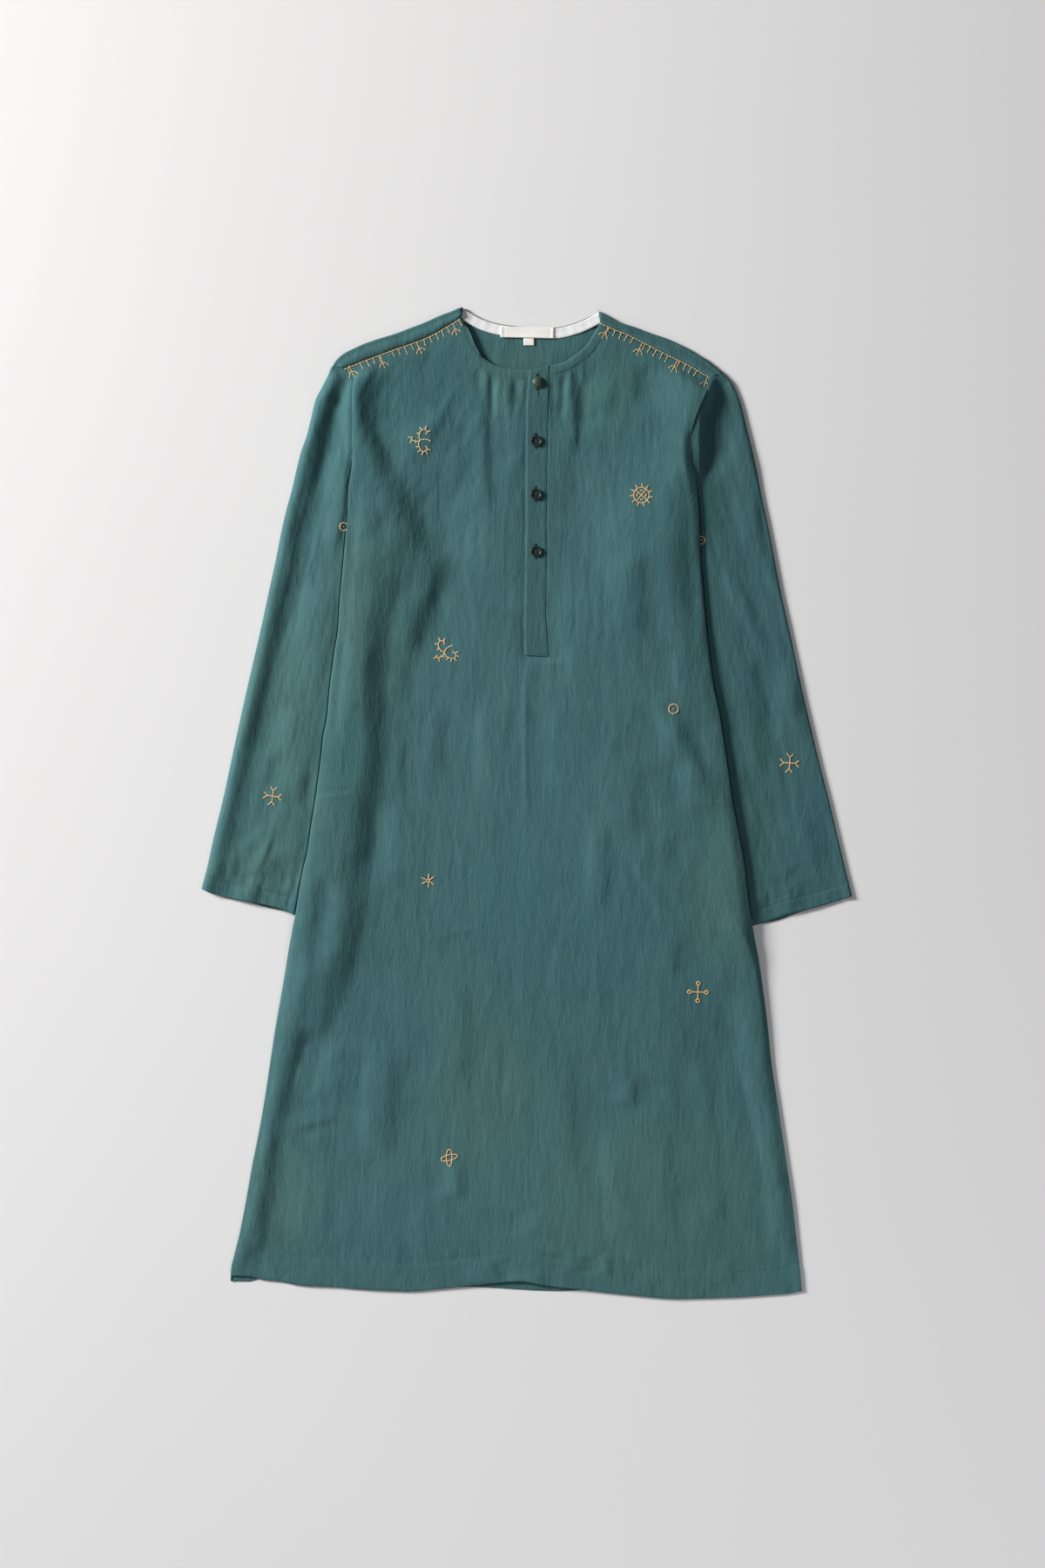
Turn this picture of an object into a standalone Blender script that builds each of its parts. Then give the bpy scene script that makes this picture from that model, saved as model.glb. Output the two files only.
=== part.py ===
"""Kurta tunic laid flat: a long A-line tunic with set-in sleeves, a round neck
with a half placket and four buttons, its back wrapped forward over the
shoulders.  +X is the garment's left-hand side as seen from above, +Y runs to
the neck, +Z is up from the table.  Lengths in the tables are millimetres."""
import bpy
import bmesh
import math
from mathutils import Vector

MM = 0.001

# ------------------------------------------------------------ driving sizes
CLOTH = 1.0            # wall of every main panel
BAND = 0.8             # wall of the placket bands
TRIM = 0.6             # wall of the neck tape, label and size tab
SEAM = 0.3             # clearance between pieces at a seam
LAY = 0.35             # clearance between a panel and what lies on it
UNDER_SLEEVE = 2.8     # height of the part of a sleeve that lies under the body
BED = UNDER_SLEEVE + 0.4   # height to which the back is lifted over a sleeve
LIFT_MARGIN = 4.0      # how far the lifted strip runs past the sleeve's inner fold
LIFT_RAMP = 24.0       # width over which the back comes down to the table
SHOULDER_FOLD = 4.6    # outer height of the fold along the shoulders
SLEEVE_FOLD = 3.6      # outer height of the fold along a sleeve's outer edge
LOFT = 2.4             # air between back and front away from the edges
ROLL = 8.0             # width over which the front rolls down to a side seam
ARMHOLE_LOFT = 3.0     # how far the front stands over the back at an armhole
PLACKET_END = 153.5    # y of the placket's stitched end
BAND_TOP = (2.5, 23.0)     # x of the placket's edges where it meets the neckline
TAPE_WIDTH = 11.0      # white tape along the back neck
LABEL = dict(left=-27.5, right=28.5, top=503.0, bottom=491.6, tilt=-1.0)
SIZE_TAB = dict(left=-3.5, right=7.5, top=490.2, bottom=482.6)
BUTTON_RADIUS = 5.8
BUTTON_HEIGHT = 2.5
TOP_BUTTON_RADIUS = 6.3
TOP_BUTTON_HEIGHT = 4.4

# Body, a row per level.  Columns: level, left side seam, inner fold of the
# left sleeve, line under the left neck point, left edge of the placket, right
# edge of the placket, line under the right neck point, inner fold of the
# right sleeve, right side seam.
BODY_COLUMNS = ("level", "left", "ridge_left", "neck_left", "band_left",
                "band_right", "neck_right", "ridge_right", "right")
BODY_SECTIONS = (
    (415.5, -185.6, -150.0, -74.5, -2.0, 22.0, 81.0, 152.0, 190.2),
    (360.5, -185.0, -152.0, -78.0, -2.0, 22.0, 83.5, 148.0, 182.4),
    (296.0, -189.5, -155.5, -82.0, -2.5, 22.0, 87.5, 152.0, 182.5),
    (204.0, -198.5, -155.0, -86.5, -3.0, 22.0, 92.0, 153.0, 187.5),
    (153.5, -204.0, -156.0, -89.0, -3.0, 22.5, 95.5, 154.5, 193.5),
    (112.0, -209.5, -158.0, -92.0, -3.5, 24.0, 98.5, 158.0, 199.5),
    (20.0, -220.5, -166.0, -97.5, -6.5, 26.5, 105.0, 165.0, 214.5),
    (-72.0, -236.0, -181.0, -104.0, -10.0, 29.5, 113.0, 181.0, 230.5),
    (-145.5, -249.5, -198.0, -108.5, -13.0, 32.0, 119.5, 198.5, 241.0),
    (-237.5, -266.0, -212.0, -115.0, -16.5, 35.0, 128.0, 209.0, 255.0),
    (-348.0, -283.5, -226.0, -122.5, -20.0, 37.5, 137.0, 221.0, 269.5),
    (-440.0, -301.0, -240.0, -129.5, -23.0, 39.5, 145.5, 230.5, 282.5),
    (-509.0, -314.0, -250.0, -135.0, -25.0, 41.5, 151.0, 238.0, 290.5),
)
# Armhole seams, straight between their corners: (x, y) from the shoulder fold down.
ARMHOLE_LEFT = ((-203.0, 464.5), (-186.5, 451.5), (-185.0, 360.5))
ARMHOLE_RIGHT = ((206.5, 455.0), (194.5, 448.0), (182.4, 360.5))
# Shoulder folds, forward shoulder seams, necklines and hems, all left to right: (x, y).
FOLD_LEFT = ((-203.0, 464.5), (-193.0, 475.5), (-168.5, 486.5), (-134.5, 497.5),
             (-106.5, 508.5), (-69.5, 524.0))
FOLD_RIGHT = ((77.0, 519.5), (97.5, 508.5), (129.0, 497.5), (157.5, 486.5),
              (187.0, 470.0), (206.5, 455.0))
SHOULDER_SEAM_LEFT = ((-194.6, 458.0), (-162.0, 471.5), (-125.0, 484.5),
                      (-93.0, 498.0), (-69.0, 512.0))
SHOULDER_SEAM_RIGHT = ((77.0, 508.0), (106.0, 495.5), (148.0, 475.0),
                       (167.5, 465.5), (194.5, 448.0))
NECK_FRONT = ((-69.0, 512.0), (-64.0, 500.0), (-56.0, 483.0), (-44.0, 469.0),
              (-25.0, 460.0), (3.0, 457.0), (32.0, 463.5), (50.5, 472.5),
              (63.5, 484.5), (72.0, 497.5), (77.0, 508.0))
NECK_BACK = ((-69.5, 524.0), (-57.0, 517.0), (-41.5, 510.0), (-18.5, 504.0),
             (3.0, 502.0), (28.5, 502.0), (52.5, 507.0), (67.0, 514.0), (77.0, 519.5))
HEM_FRONT = ((-313.5, -500.5), (-281.5, -503.5), (-239.0, -510.0), (-167.5, -514.5),
             (-124.0, -516.5), (-72.5, -512.0), (-4.5, -506.0), (32.0, -512.0),
             (64.5, -515.5), (106.0, -520.0), (161.0, -524.0), (217.0, -523.0),
             (259.5, -520.0), (290.5, -515.5))
HEM_BACK = ((-313.5, -505.5), (-290.0, -506.0), (-239.0, -508.0), (-167.5, -512.5),
            (-124.0, -514.5), (-72.5, -512.0), (-4.5, -514.5), (32.0, -516.0),
            (64.5, -515.0), (106.0, -517.5), (161.0, -521.5), (217.0, -520.0),
            (259.5, -517.5), (290.5, -512.5))
# Sleeves, a row per section from the head to the cuff.  Columns: outer fold x
# and y, y where the section passes under the body's edge, inner fold x and y,
# crown height.
SLEEVE_LEFT = (
    (-203.0, 464.5, 360.5, -172.0, 345.0, 6.4),
    (-221.5, 429.5, 335.5, -170.0, 310.0, 7.4),
    (-233.5, 383.5, 314.5, -165.5, 281.0, 8.0),
    (-248.5, 328.0, 289.5, -160.5, 251.0, 8.0),
    (-268.5, 242.5, 220.5, -157.5, 207.0, 7.6),
    (-290.0, 149.0, 123.0, -160.0, 106.5, 7.0),
    (-313.5, 38.5, 12.5, -169.0, -3.0, 6.6),
    (-331.0, -35.0, -63.0, -184.0, -79.5, 6.2),
    (-344.0, -91.0, -119.5, -202.5, -132.5, 4.6),
)
SLEEVE_RIGHT = (
    (206.5, 455.0, 360.5, 168.5, 345.0, 6.4),
    (223.5, 427.5, 334.0, 166.0, 308.0, 7.8),
    (235.5, 383.5, 311.5, 162.0, 278.0, 8.6),
    (247.5, 328.0, 285.0, 158.0, 248.0, 8.4),
    (265.0, 241.0, 215.0, 155.0, 202.0, 7.6),
    (286.0, 149.0, 119.5, 159.0, 103.0, 7.0),
    (310.0, 38.5, 9.0, 168.5, -6.0, 6.4),
    (328.5, -35.0, -69.0, 185.0, -85.0, 6.0),
    (344.0, -98.5, -130.0, 203.5, -144.0, 4.6),
)
SLEEVE_BEND = 0.2      # share of the visible width at which a sleeve head bends
# Height profile across the visible width of a sleeve: (share, share of the crown).
SLEEVE_PROFILE = ((0.0, 0.0), (0.12, 0.5), (0.35, 1.0), (0.7, 0.8), (1.0, 0.0))

# Largest folds of the front.  Columns: x and y of one end, x and y of the
# other end, half width, height (a trough is negative).
FOLDS = (
    (-135.0, 440.0, -118.0, 300.0, 20.0, 1.6),
    (-45.0, 450.0, -38.0, 330.0, 7.0, -1.2),
    (-28.0, 452.0, -24.0, 340.0, 7.0, 1.4),
    (52.0, 455.0, 56.0, 360.0, 8.0, -1.2),
    (-92.0, 262.0, -120.0, 160.0, 13.0, -1.6),
    (-112.0, 275.0, -140.0, 180.0, 12.0, 1.4),
    (118.0, 250.0, 108.0, 190.0, 12.0, -1.3),
    (-176.0, 60.0, -206.0, -230.0, 14.0, 1.6),
    (-228.0, -240.0, -262.0, -320.0, 14.0, -1.4),
    (-70.0, 40.0, -90.0, -420.0, 22.0, 1.0),
    (60.0, 80.0, 85.0, -300.0, 20.0, 1.0),
    (150.0, 20.0, 195.0, -420.0, 20.0, 1.1),
    (20.0, -200.0, 30.0, -500.0, 18.0, 0.9),
)
BUTTONS = ((12.0, 444.0), (10.5, 382.5), (10.0, 326.0), (10.5, 265.5))   # (x, y)

CELLS = (3, 4, 4, 2, 3, 4, 3)      # grid cells between the body's named lines
ROW_LEVELS = (-477.0, -440.0, -398.5, -357.0, -316.0, -274.5, -233.0, -191.5,
              -150.0, -109.0, -72.0, -35.0, 1.5, 38.5, 75.0, 112.0, 153.5,
              187.5, 222.5, 259.0, 296.0, 328.0, 360.5, 388.0, 415.5)
TOP_SHARES = (0.26, 0.5, 0.74, 1.0)    # rows between the highest level and a top edge
SHOULDER_SHARES = (0.0, 0.13, 0.25, 0.38, 0.53, 0.68, 0.84, 1.0)   # columns along a shoulder


# ---------------------------------------------------------------- helpers
def smooth(table, t, column=1, key=0):
    """Monotone cubic through a table's column, read at t of its key column."""
    ks = [row[key] for row in table]
    vs = [row[column] for row in table]
    if ks[0] > ks[-1]:
        ks.reverse()
        vs.reverse()
    if t <= ks[0]:
        return vs[0]
    if t >= ks[-1]:
        return vs[-1]
    n = len(ks)
    step = [ks[i + 1] - ks[i] for i in range(n - 1)]
    rate = [(vs[i + 1] - vs[i]) / step[i] for i in range(n - 1)]
    slope = [rate[0]] + [0.0] * (n - 2) + [rate[-1]]
    for i in range(1, n - 1):
        if rate[i - 1] * rate[i] > 0.0:
            wa, wb = 2 * step[i] + step[i - 1], step[i] + 2 * step[i - 1]
            slope[i] = (wa + wb) / (wa / rate[i - 1] + wb / rate[i])
    i = max(j for j in range(n - 1) if ks[j] <= t)
    h, s = step[i], (t - ks[i]) / step[i]
    return ((1 + 2 * s) * (1 - s) ** 2 * vs[i] + s * (1 - s) ** 2 * h * slope[i]
            + s * s * (3 - 2 * s) * vs[i + 1] + s * s * (s - 1) * h * slope[i + 1])


def along(points, share):
    """Point at a share of the length of a smooth line through (x, y) points."""
    rows, length = [], 0.0
    for i, p in enumerate(points):
        if i:
            length += math.dist(p, points[i - 1])
        rows.append((length, p[0], p[1]))
    return smooth(rows, share * length, 1), smooth(rows, share * length, 2)


def straight(points, share):
    """Point at a share of the length of straight runs between (x, y) points."""
    lengths = [math.dist(points[i], points[i + 1]) for i in range(len(points) - 1)]
    left = share * sum(lengths)
    for i, run in enumerate(lengths):
        if left <= run or i == len(lengths) - 1:
            f = min(1.0, left / run)
            return (points[i][0] + f * (points[i + 1][0] - points[i][0]),
                    points[i][1] + f * (points[i + 1][1] - points[i][1]))
        left -= run


def ease(t):
    t = max(0.0, min(1.0, t))
    return t * t * (3 - 2 * t)


def mix(a, b, f):
    return a + (b - a) * f


def body_line(name, level):
    return smooth(BODY_SECTIONS, level, BODY_COLUMNS.index(name))


def armhole_x(points, y):
    """x of an armhole's straight runs at a level."""
    for (xa, ya), (xb, yb) in zip(points, points[1:]):
        if yb <= y <= ya:
            return mix(xb, xa, (y - yb) / (ya - yb))
    return points[0][0] if y > points[0][1] else points[-1][0]


def edge_x(side, y):
    points = ARMHOLE_LEFT if side == "left" else ARMHOLE_RIGHT
    return armhole_x(points, y) if y > points[-1][1] else body_line(side, y)


def columns():
    """(line, next line, share) for each column of the body's grid."""
    names = BODY_COLUMNS[1:]
    out = []
    for i, cells in enumerate(CELLS):
        for k in range(cells):
            out.append((names[i], names[i + 1], k / cells))
    out.append((names[-1], names[-1], 0.0))
    return out


COLUMNS = columns()
RIDGE_L, NECK_L = CELLS[0], CELLS[0] + CELLS[1]
BAND_L = NECK_L + CELLS[2]
BAND_R = BAND_L + CELLS[3]
NECK_R = BAND_R + CELLS[4]
RIDGE_R = NECK_R + CELLS[5]
LAST = RIDGE_R + CELLS[6]


def level_x(column, y):
    """x of a column at a level, with the roll and the ramp at their own widths."""
    a, b, f = COLUMNS[column]
    left, right = edge_x("left", y), edge_x("right", y)
    rl, rr = body_line("ridge_left", y) + LIFT_MARGIN, body_line("ridge_right", y) - LIFT_MARGIN
    if column <= RIDGE_L:
        return (left, left + ROLL, mix(left + ROLL, rl, 0.5), rl)[column]
    if column >= RIDGE_R:
        return (right, right - ROLL, mix(right - ROLL, rr, 0.5), rr)[LAST - column]
    if column == RIDGE_L + 1:
        return rl + LIFT_RAMP
    if column == RIDGE_R - 1:
        return rr - LIFT_RAMP
    if column < NECK_L:
        start = rl + LIFT_RAMP
        return mix(start, body_line("neck_left", y), (column - RIDGE_L - 1) / (NECK_L - RIDGE_L - 1))
    if column > NECK_R:
        start = rr - LIFT_RAMP
        return mix(start, body_line("neck_right", y), (RIDGE_R - 1 - column) / (RIDGE_R - 1 - NECK_R))
    return mix(body_line(a, y), body_line(b, y), f)


def neck_share(neck, x):
    """Share of a neckline's length at which it reaches x."""
    low, high = 0.0, 1.0
    for _ in range(30):
        share = 0.5 * (low + high)
        if along(neck, share)[0] < x:
            low = share
        else:
            high = share
    return low


def top_edge(column, left_line, neck, right_line):
    """Point of a column on a top edge made of shoulder, neckline and shoulder."""
    if column <= NECK_L:
        return along(left_line, SHOULDER_SHARES[column])
    if column >= NECK_R:
        return along(right_line, 1.0 - SHOULDER_SHARES[LAST - column])
    band_l, band_r = neck_share(neck, BAND_TOP[0]), neck_share(neck, BAND_TOP[1])
    if column <= BAND_L:
        return along(neck, band_l * (column - NECK_L) / (BAND_L - NECK_L))
    if column >= BAND_R:
        return along(neck, mix(band_r, 1.0, (column - BAND_R) / (NECK_R - BAND_R)))
    return along(neck, mix(band_l, band_r, (column - BAND_L) / (BAND_R - BAND_L)))


def back_lift(x, y):
    """Height of the back's underside: lifted where a sleeve lies under it."""
    down = ease((395.0 - y) / 30.0) * ease((y + 192.0) / 40.0)
    from_left = (body_line("ridge_left", y) + LIFT_MARGIN + LIFT_RAMP - x) / LIFT_RAMP
    from_right = (x - body_line("ridge_right", y) + LIFT_MARGIN + LIFT_RAMP) / LIFT_RAMP
    side = max(0.0, min(1.0, max(from_left, from_right)))
    return BED * down * side


def fold_height(x, y):
    total = 0.0
    for xa, ya, xb, yb, half, height in FOLDS:
        dx, dy = xb - xa, yb - ya
        f = ((x - xa) * dx + (y - ya) * dy) / (dx * dx + dy * dy)
        off = abs((x - xa) * dy - (y - ya) * dx) / math.hypot(dx, dy)
        end = ease(min(f + 0.15, 1.15 - f) / 0.3)
        total += height * end * math.exp(-(off / half) ** 2)
    return total


def front_top(column, x, y, at_top=0.0):
    """Height of the front's upper side.  at_top is 1 on its top edge."""
    side = min(column, LAST - column)
    arm = ease((y - 345.0) / 40.0)
    edge = ARMHOLE_LOFT * arm
    full = LOFT + fold_height(x, y) + 1.2 * back_lift(x, y) / BED
    loft = (edge, mix(full, edge, 0.35), mix(full, edge, 0.05), full)[min(side, 3)]
    if side == 1:
        loft = mix(edge, full, 0.7)
    flat = SHOULDER_FOLD - 2 * CLOTH - LAY
    loft = mix(max(loft, LAY if side == 0 else 1.3), flat, at_top)
    if side == 0:
        loft = mix(edge, flat, at_top)
    return back_lift(x, y) + 2 * CLOTH + LAY + loft


def front_point(row, column):
    """Point of the front's upper side: row 0 is the hem, the last row the top edge."""
    levels = len(ROW_LEVELS)
    if row == 0:
        x = level_x(column, -509.0)
        y = smooth(HEM_FRONT, x)
        return x, y, mix(front_top(column, x, y), 2 * CLOTH + LAY + 0.2, 0.6)
    if row <= levels:
        y = ROW_LEVELS[row - 1]
        x = level_x(column, y)
        return x, y, front_top(column, x, y)
    share = TOP_SHARES[row - levels - 1]
    low_y = ROW_LEVELS[-1]
    if column in (0, LAST):
        points = ARMHOLE_LEFT if column == 0 else ARMHOLE_RIGHT
        seam = SHOULDER_SEAM_LEFT[0] if column == 0 else SHOULDER_SEAM_RIGHT[-1]
        bend = points[1]
        y = (mix(low_y, bend[1], 0.5), bend[1], mix(bend[1], seam[1], 0.5), seam[1])[row - levels - 1]
        x = armhole_x(points, y)
    else:
        xt, yt = top_edge(column, SHOULDER_SEAM_LEFT, NECK_FRONT, SHOULDER_SEAM_RIGHT)
        x = mix(level_x(column, low_y), xt, share)
        y = mix(low_y, yt, share)
    return x, y, front_top(column, x, y, at_top=ease(share) if not NECK_L < column < NECK_R else 0.4 * ease(share))


def fold_normal(column):
    """Unit vector out of the garment across the shoulder fold."""
    line = FOLD_LEFT if column <= NECK_L else FOLD_RIGHT
    (xa, ya), (xb, yb) = line[0], line[-1]
    size = math.dist(line[0], line[-1])
    return -(yb - ya) / size, (xb - xa) / size


def back_point(row, column):
    """Point of the back's underside: row 0 is the hem, the last row the top edge."""
    levels = len(ROW_LEVELS)
    if row == 0:
        x = level_x(column, -509.0)
        return x, smooth(HEM_BACK, x), 0.0
    if row <= levels:
        y = ROW_LEVELS[row - 1]
        x = level_x(column, y)
        return x, y, back_lift(x, y)
    share = TOP_SHARES[row - levels - 1]
    low_y = ROW_LEVELS[-1]
    xt, yt = top_edge(column, FOLD_LEFT, NECK_BACK, FOLD_RIGHT)
    if column <= NECK_L or column >= NECK_R:
        nx, ny = fold_normal(column)
        inset = 0.5 * SHOULDER_FOLD
        xt, yt = xt - inset * nx, yt - inset * ny
    if column in (0, LAST):
        points = ARMHOLE_LEFT if column == 0 else ARMHOLE_RIGHT
        bend = points[1]
        y = (mix(low_y, bend[1], 0.5), bend[1], mix(bend[1], yt, 0.5), yt)[row - levels - 1]
        return armhole_x(points, y), y, 0.0
    return mix(level_x(column, low_y), xt, share), mix(low_y, yt, share), 0.0


def material(name, rgb, rough=0.9):
    mat = bpy.data.materials.new(name)
    mat.use_nodes = True
    shader = mat.node_tree.nodes["Principled BSDF"]
    shader.inputs["Base Color"].default_value = (*rgb, 1.0)
    shader.inputs["Roughness"].default_value = rough
    shader.inputs["Metallic"].default_value = 0.0
    return mat


def grid(cells_x, cells_y, place):
    """A grid of cells, each corner placed by place(column, row) in millimetres."""
    bm = bmesh.new()
    bmesh.ops.create_grid(bm, x_segments=cells_x, y_segments=cells_y, size=0.5)
    found = {}
    for vert in bm.verts:
        column = round((vert.co.x + 0.5) * cells_x)
        row = round((vert.co.y + 0.5) * cells_y)
        found[column, row] = vert
    for (column, row), vert in found.items():
        vert.co = Vector(place(column, row)) * MM
    return bm, found


def add_object(name, bm, mat, wall, weld=False):
    if weld:
        bmesh.ops.remove_doubles(bm, verts=bm.verts, dist=1e-6)
    mesh = bpy.data.meshes.new(name)
    bm.to_mesh(mesh)
    bm.free()
    mesh.shade_smooth()
    obj = bpy.data.objects.new(name, mesh)
    obj.data.materials.append(mat)
    collection.objects.link(obj)
    if wall:
        shell = obj.modifiers.new("wall", "SOLIDIFY")
        shell.thickness = wall * MM
        shell.offset = -1.0
        shell.use_even_offset = True
    return obj


# ---------------------------------------------------------------- pieces
def make_front():
    rows = len(ROW_LEVELS) + len(TOP_SHARES)
    bm, found = grid(LAST, rows, lambda c, r: front_point(r, c))
    middle = BAND_L + 1
    end = ROW_LEVELS.index(PLACKET_END) + 1
    slit = [bm.edges.get((found[middle, r], found[middle, r + 1])) for r in range(end, rows)]
    split = bmesh.ops.split_edges(bm, edges=slit)
    for vert in {v for e in split["edges"] for v in e.verts}:
        if not vert.is_valid or vert == found[middle, end]:
            continue
        faces = vert.link_faces
        centre = sum(f.calc_center_median().x for f in faces) / len(faces)
        if len(faces) <= 2:
            vert.co.x += (0.2 if centre > vert.co.x else -0.2) * MM
    return add_object("front", bm, material("front_cloth", (0.05, 0.155, 0.155)), CLOTH)


def make_back():
    rows = len(ROW_LEVELS) + len(TOP_SHARES)
    bm, _ = grid(LAST, rows, lambda c, r: back_point(r, c))
    for side, first, count in (("left", 0, NECK_L), ("right", NECK_R, LAST - NECK_R)):
        seam_line = SHOULDER_SEAM_LEFT if side == "left" else SHOULDER_SEAM_RIGHT
        neck_end = -1 if side == "left" else 0

        def wrap(c, r):
            column = first + c
            nx, ny = fold_normal(column)
            xt, yt = top_edge(column, FOLD_LEFT, NECK_BACK, FOLD_RIGHT)
            xs, ys = top_edge(column, SHOULDER_SEAM_LEFT, NECK_FRONT, SHOULDER_SEAM_RIGHT)
            radius = 0.5 * SHOULDER_FOLD
            x0, y0, _ = back_point(rows, column)
            if r <= 4:
                turn = math.pi * r / 4
                reach = radius * math.sin(turn)
                return (x0 + nx * reach, y0 + ny * reach, radius * (1 - math.cos(turn)))
            xs, ys = xs + nx * SEAM, ys + ny * SEAM
            f = (r - 4) / 2
            return (mix(x0, xs, f), mix(y0, ys, f), SHOULDER_FOLD)

        part, _ = grid(count, 6, wrap)
        mesh = bpy.data.meshes.new("wrap")
        part.to_mesh(mesh)
        part.free()
        bm.from_mesh(mesh)
        bpy.data.meshes.remove(mesh)
    bmesh.ops.reverse_faces(bm, faces=bm.faces)
    return add_object("back", bm, material("back_cloth", (0.05, 0.155, 0.155)), CLOTH, weld=True)


def make_sleeve(name, table, side):
    sections = len(table) - 1
    armhole = ARMHOLE_LEFT if side == "left" else ARMHOLE_RIGHT
    out = -1.0 if side == "left" else 1.0
    keyed = [(float(i),) + row for i, row in enumerate(table)]
    rows = 2 * sections

    def plan(t, s):
        """(x, y) at a section t and a share s: 0 outer fold, 1 body's edge, 2 inner fold."""
        ox, oy, ey, ix, iy = (smooth(keyed, t, k) for k in (1, 2, 3, 4, 5))
        ex = edge_x(side, ey) + out * 1.5
        bx, by = mix(ox, ex, SLEEVE_BEND), mix(oy, ey, SLEEVE_BEND)
        head = ease(1.0 - t / 2.0)
        if head > 0.0:
            corner = armhole[1]
            bx, by = mix(bx, corner[0] + out * SEAM, head), mix(by, corner[1] - 0.5 * SEAM, head)
            ox, oy = ox + out * SEAM * head * 0.6, oy - SEAM * head * 0.9
            ex = mix(ex, edge_x(side, ey) + out * SEAM, ease(1.0 - t))
        if s <= SLEEVE_BEND:
            f = s / SLEEVE_BEND
            return mix(ox, bx, f), mix(oy, by, f)
        if s <= 1.0:
            f = (s - SLEEVE_BEND) / (1 - SLEEVE_BEND)
            return mix(bx, ex, f), mix(by, ey, f)
        return mix(ex, ix, s - 1.0), mix(ey, iy, s - 1.0)

    tops = (0.0, 0.1, 0.2, 0.4, 0.6, 0.8, 1.0, 1.5, 2.0)
    bottoms = (2.0, 1.0, 0.6, 0.2, 0.0)
    around = []
    for s in reversed(bottoms):
        around.append(("bottom", s))
    around.append(("inner", 0.5))
    for s in reversed(tops):
        around.append(("top", s))
    around += [("outer", 0.67), ("outer", 0.33)]
    cells = len(around)

    def place(c, r):
        t = sections * r / rows
        kind, s = around[c % cells]
        fold = mix(SLEEVE_FOLD, SHOULDER_FOLD, ease(1.0 - t))
        rim = (ease(t) if r else 0.0)
        ox, oy = plan(t, 0.0)
        bx, by = plan(t, SLEEVE_BEND)
        ex, ey = plan(t, 1.0)
        ix, iy = plan(t, 2.0)
        do = math.hypot(bx - ox, by - oy)
        di = math.hypot(ix - ex, iy - ey)
        uo = ((bx - ox) / do, (by - oy) / do)
        ui = ((ix - ex) / di, (iy - ey) / di)
        ro, ri = 0.5 * fold, 0.5 * UNDER_SLEEVE
        if kind == "outer":
            turn = math.pi * (1 - s)
            k = ro - ro * math.sin(turn)
            return ox + uo[0] * k, oy + uo[1] * k, ro * (1 + math.cos(math.pi * (1 - s)))
        if kind == "inner":
            return ix, iy, ri
        x, y = plan(t, s)
        if s == 0.0:
            x, y = ox + uo[0] * ro, oy + uo[1] * ro
        elif s == 2.0:
            x, y = ix - ui[0] * ri, iy - ui[1] * ri
        if kind == "bottom":
            return x, y, 0.0
        if s >= 1.0:
            return x, y, UNDER_SLEEVE
        crown = smooth(keyed, t, 6)
        low = mix(fold, UNDER_SLEEVE, s)
        return x, y, low + smooth(SLEEVE_PROFILE, s) * (crown - low)

    bm, _ = grid(cells, rows, place)
    top = max(bm.faces, key=lambda f: f.calc_center_median().z)
    if top.normal.z < 0:
        bmesh.ops.reverse_faces(bm, faces=bm.faces)
    bm.normal_update()
    top = max(bm.faces, key=lambda f: f.calc_center_median().z)
    if top.normal.z < 0:
        bmesh.ops.reverse_faces(bm, faces=bm.faces)
    return add_object(name, bm, material(name + "_cloth", (0.05, 0.155, 0.155)), CLOTH, weld=True)


def make_placket():
    """Upper band over the slit and the button band under it, both moved out
    of the front's own points."""
    rows = len(ROW_LEVELS) + len(TOP_SHARES)
    end = ROW_LEVELS.index(PLACKET_END) + 1
    cells = BAND_R - BAND_L

    def upper(c, r):
        x, y, z = front_point(end + r, BAND_L + c)
        return x, y, z + LAY + BAND

    bm, _ = grid(cells, rows - end, upper)
    add_object("placket_upper_band", bm, material("placket_cloth", (0.05, 0.155, 0.155)), BAND)

    def under(c, r):
        x, y, z = front_point(end + r, BAND_L + c)
        x += (1.5, 0.0, -1.5)[c]
        if r == rows - end:
            y -= 1.0
        return x, y, z - CLOTH - LAY

    bm, _ = grid(cells, rows - end, under)
    add_object("placket_under_band", bm, material("under_band_cloth", (0.05, 0.155, 0.155)), BAND)


def make_neck_trim():
    cells = 12
    base = CLOTH + LAY

    def tape(c, r):
        share = mix(0.015, 0.985, c / cells)
        x, y = along(NECK_BACK, share)
        xa, ya = along(NECK_BACK, share - 0.01)
        xb, yb = along(NECK_BACK, share + 0.01)
        size = math.hypot(xb - xa, yb - ya)
        nx, ny = (yb - ya) / size, -(xb - xa) / size
        reach = 1.0 + (1 - r) * (TAPE_WIDTH - 1.0)
        return x + nx * reach, y + ny * reach, base + TRIM

    bm, _ = grid(cells, 1, tape)
    add_object("back_neck_tape", bm, material("tape_white", (0.85, 0.84, 0.86)), TRIM)

    turn = math.radians(LABEL["tilt"])
    cx, cy = 0.5 * (LABEL["left"] + LABEL["right"]), 0.5 * (LABEL["top"] + LABEL["bottom"])

    def label(c, r):
        dx = mix(LABEL["left"], LABEL["right"], c) - cx
        dy = mix(LABEL["bottom"], LABEL["top"], r) - cy
        return (cx + dx * math.cos(turn) - dy * math.sin(turn),
                cy + dx * math.sin(turn) + dy * math.cos(turn), base + 2 * TRIM + LAY)

    bm, _ = grid(1, 1, label)
    add_object("label", bm, material("label_cream", (0.80, 0.78, 0.72)), TRIM)

    def tab(c, r):
        return (mix(SIZE_TAB["left"], SIZE_TAB["right"], c),
                mix(SIZE_TAB["bottom"], SIZE_TAB["top"], r), base + TRIM)

    bm, _ = grid(1, 1, tab)
    add_object("size_label", bm, material("size_label_cream", (0.80, 0.78, 0.72)), TRIM)


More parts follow.
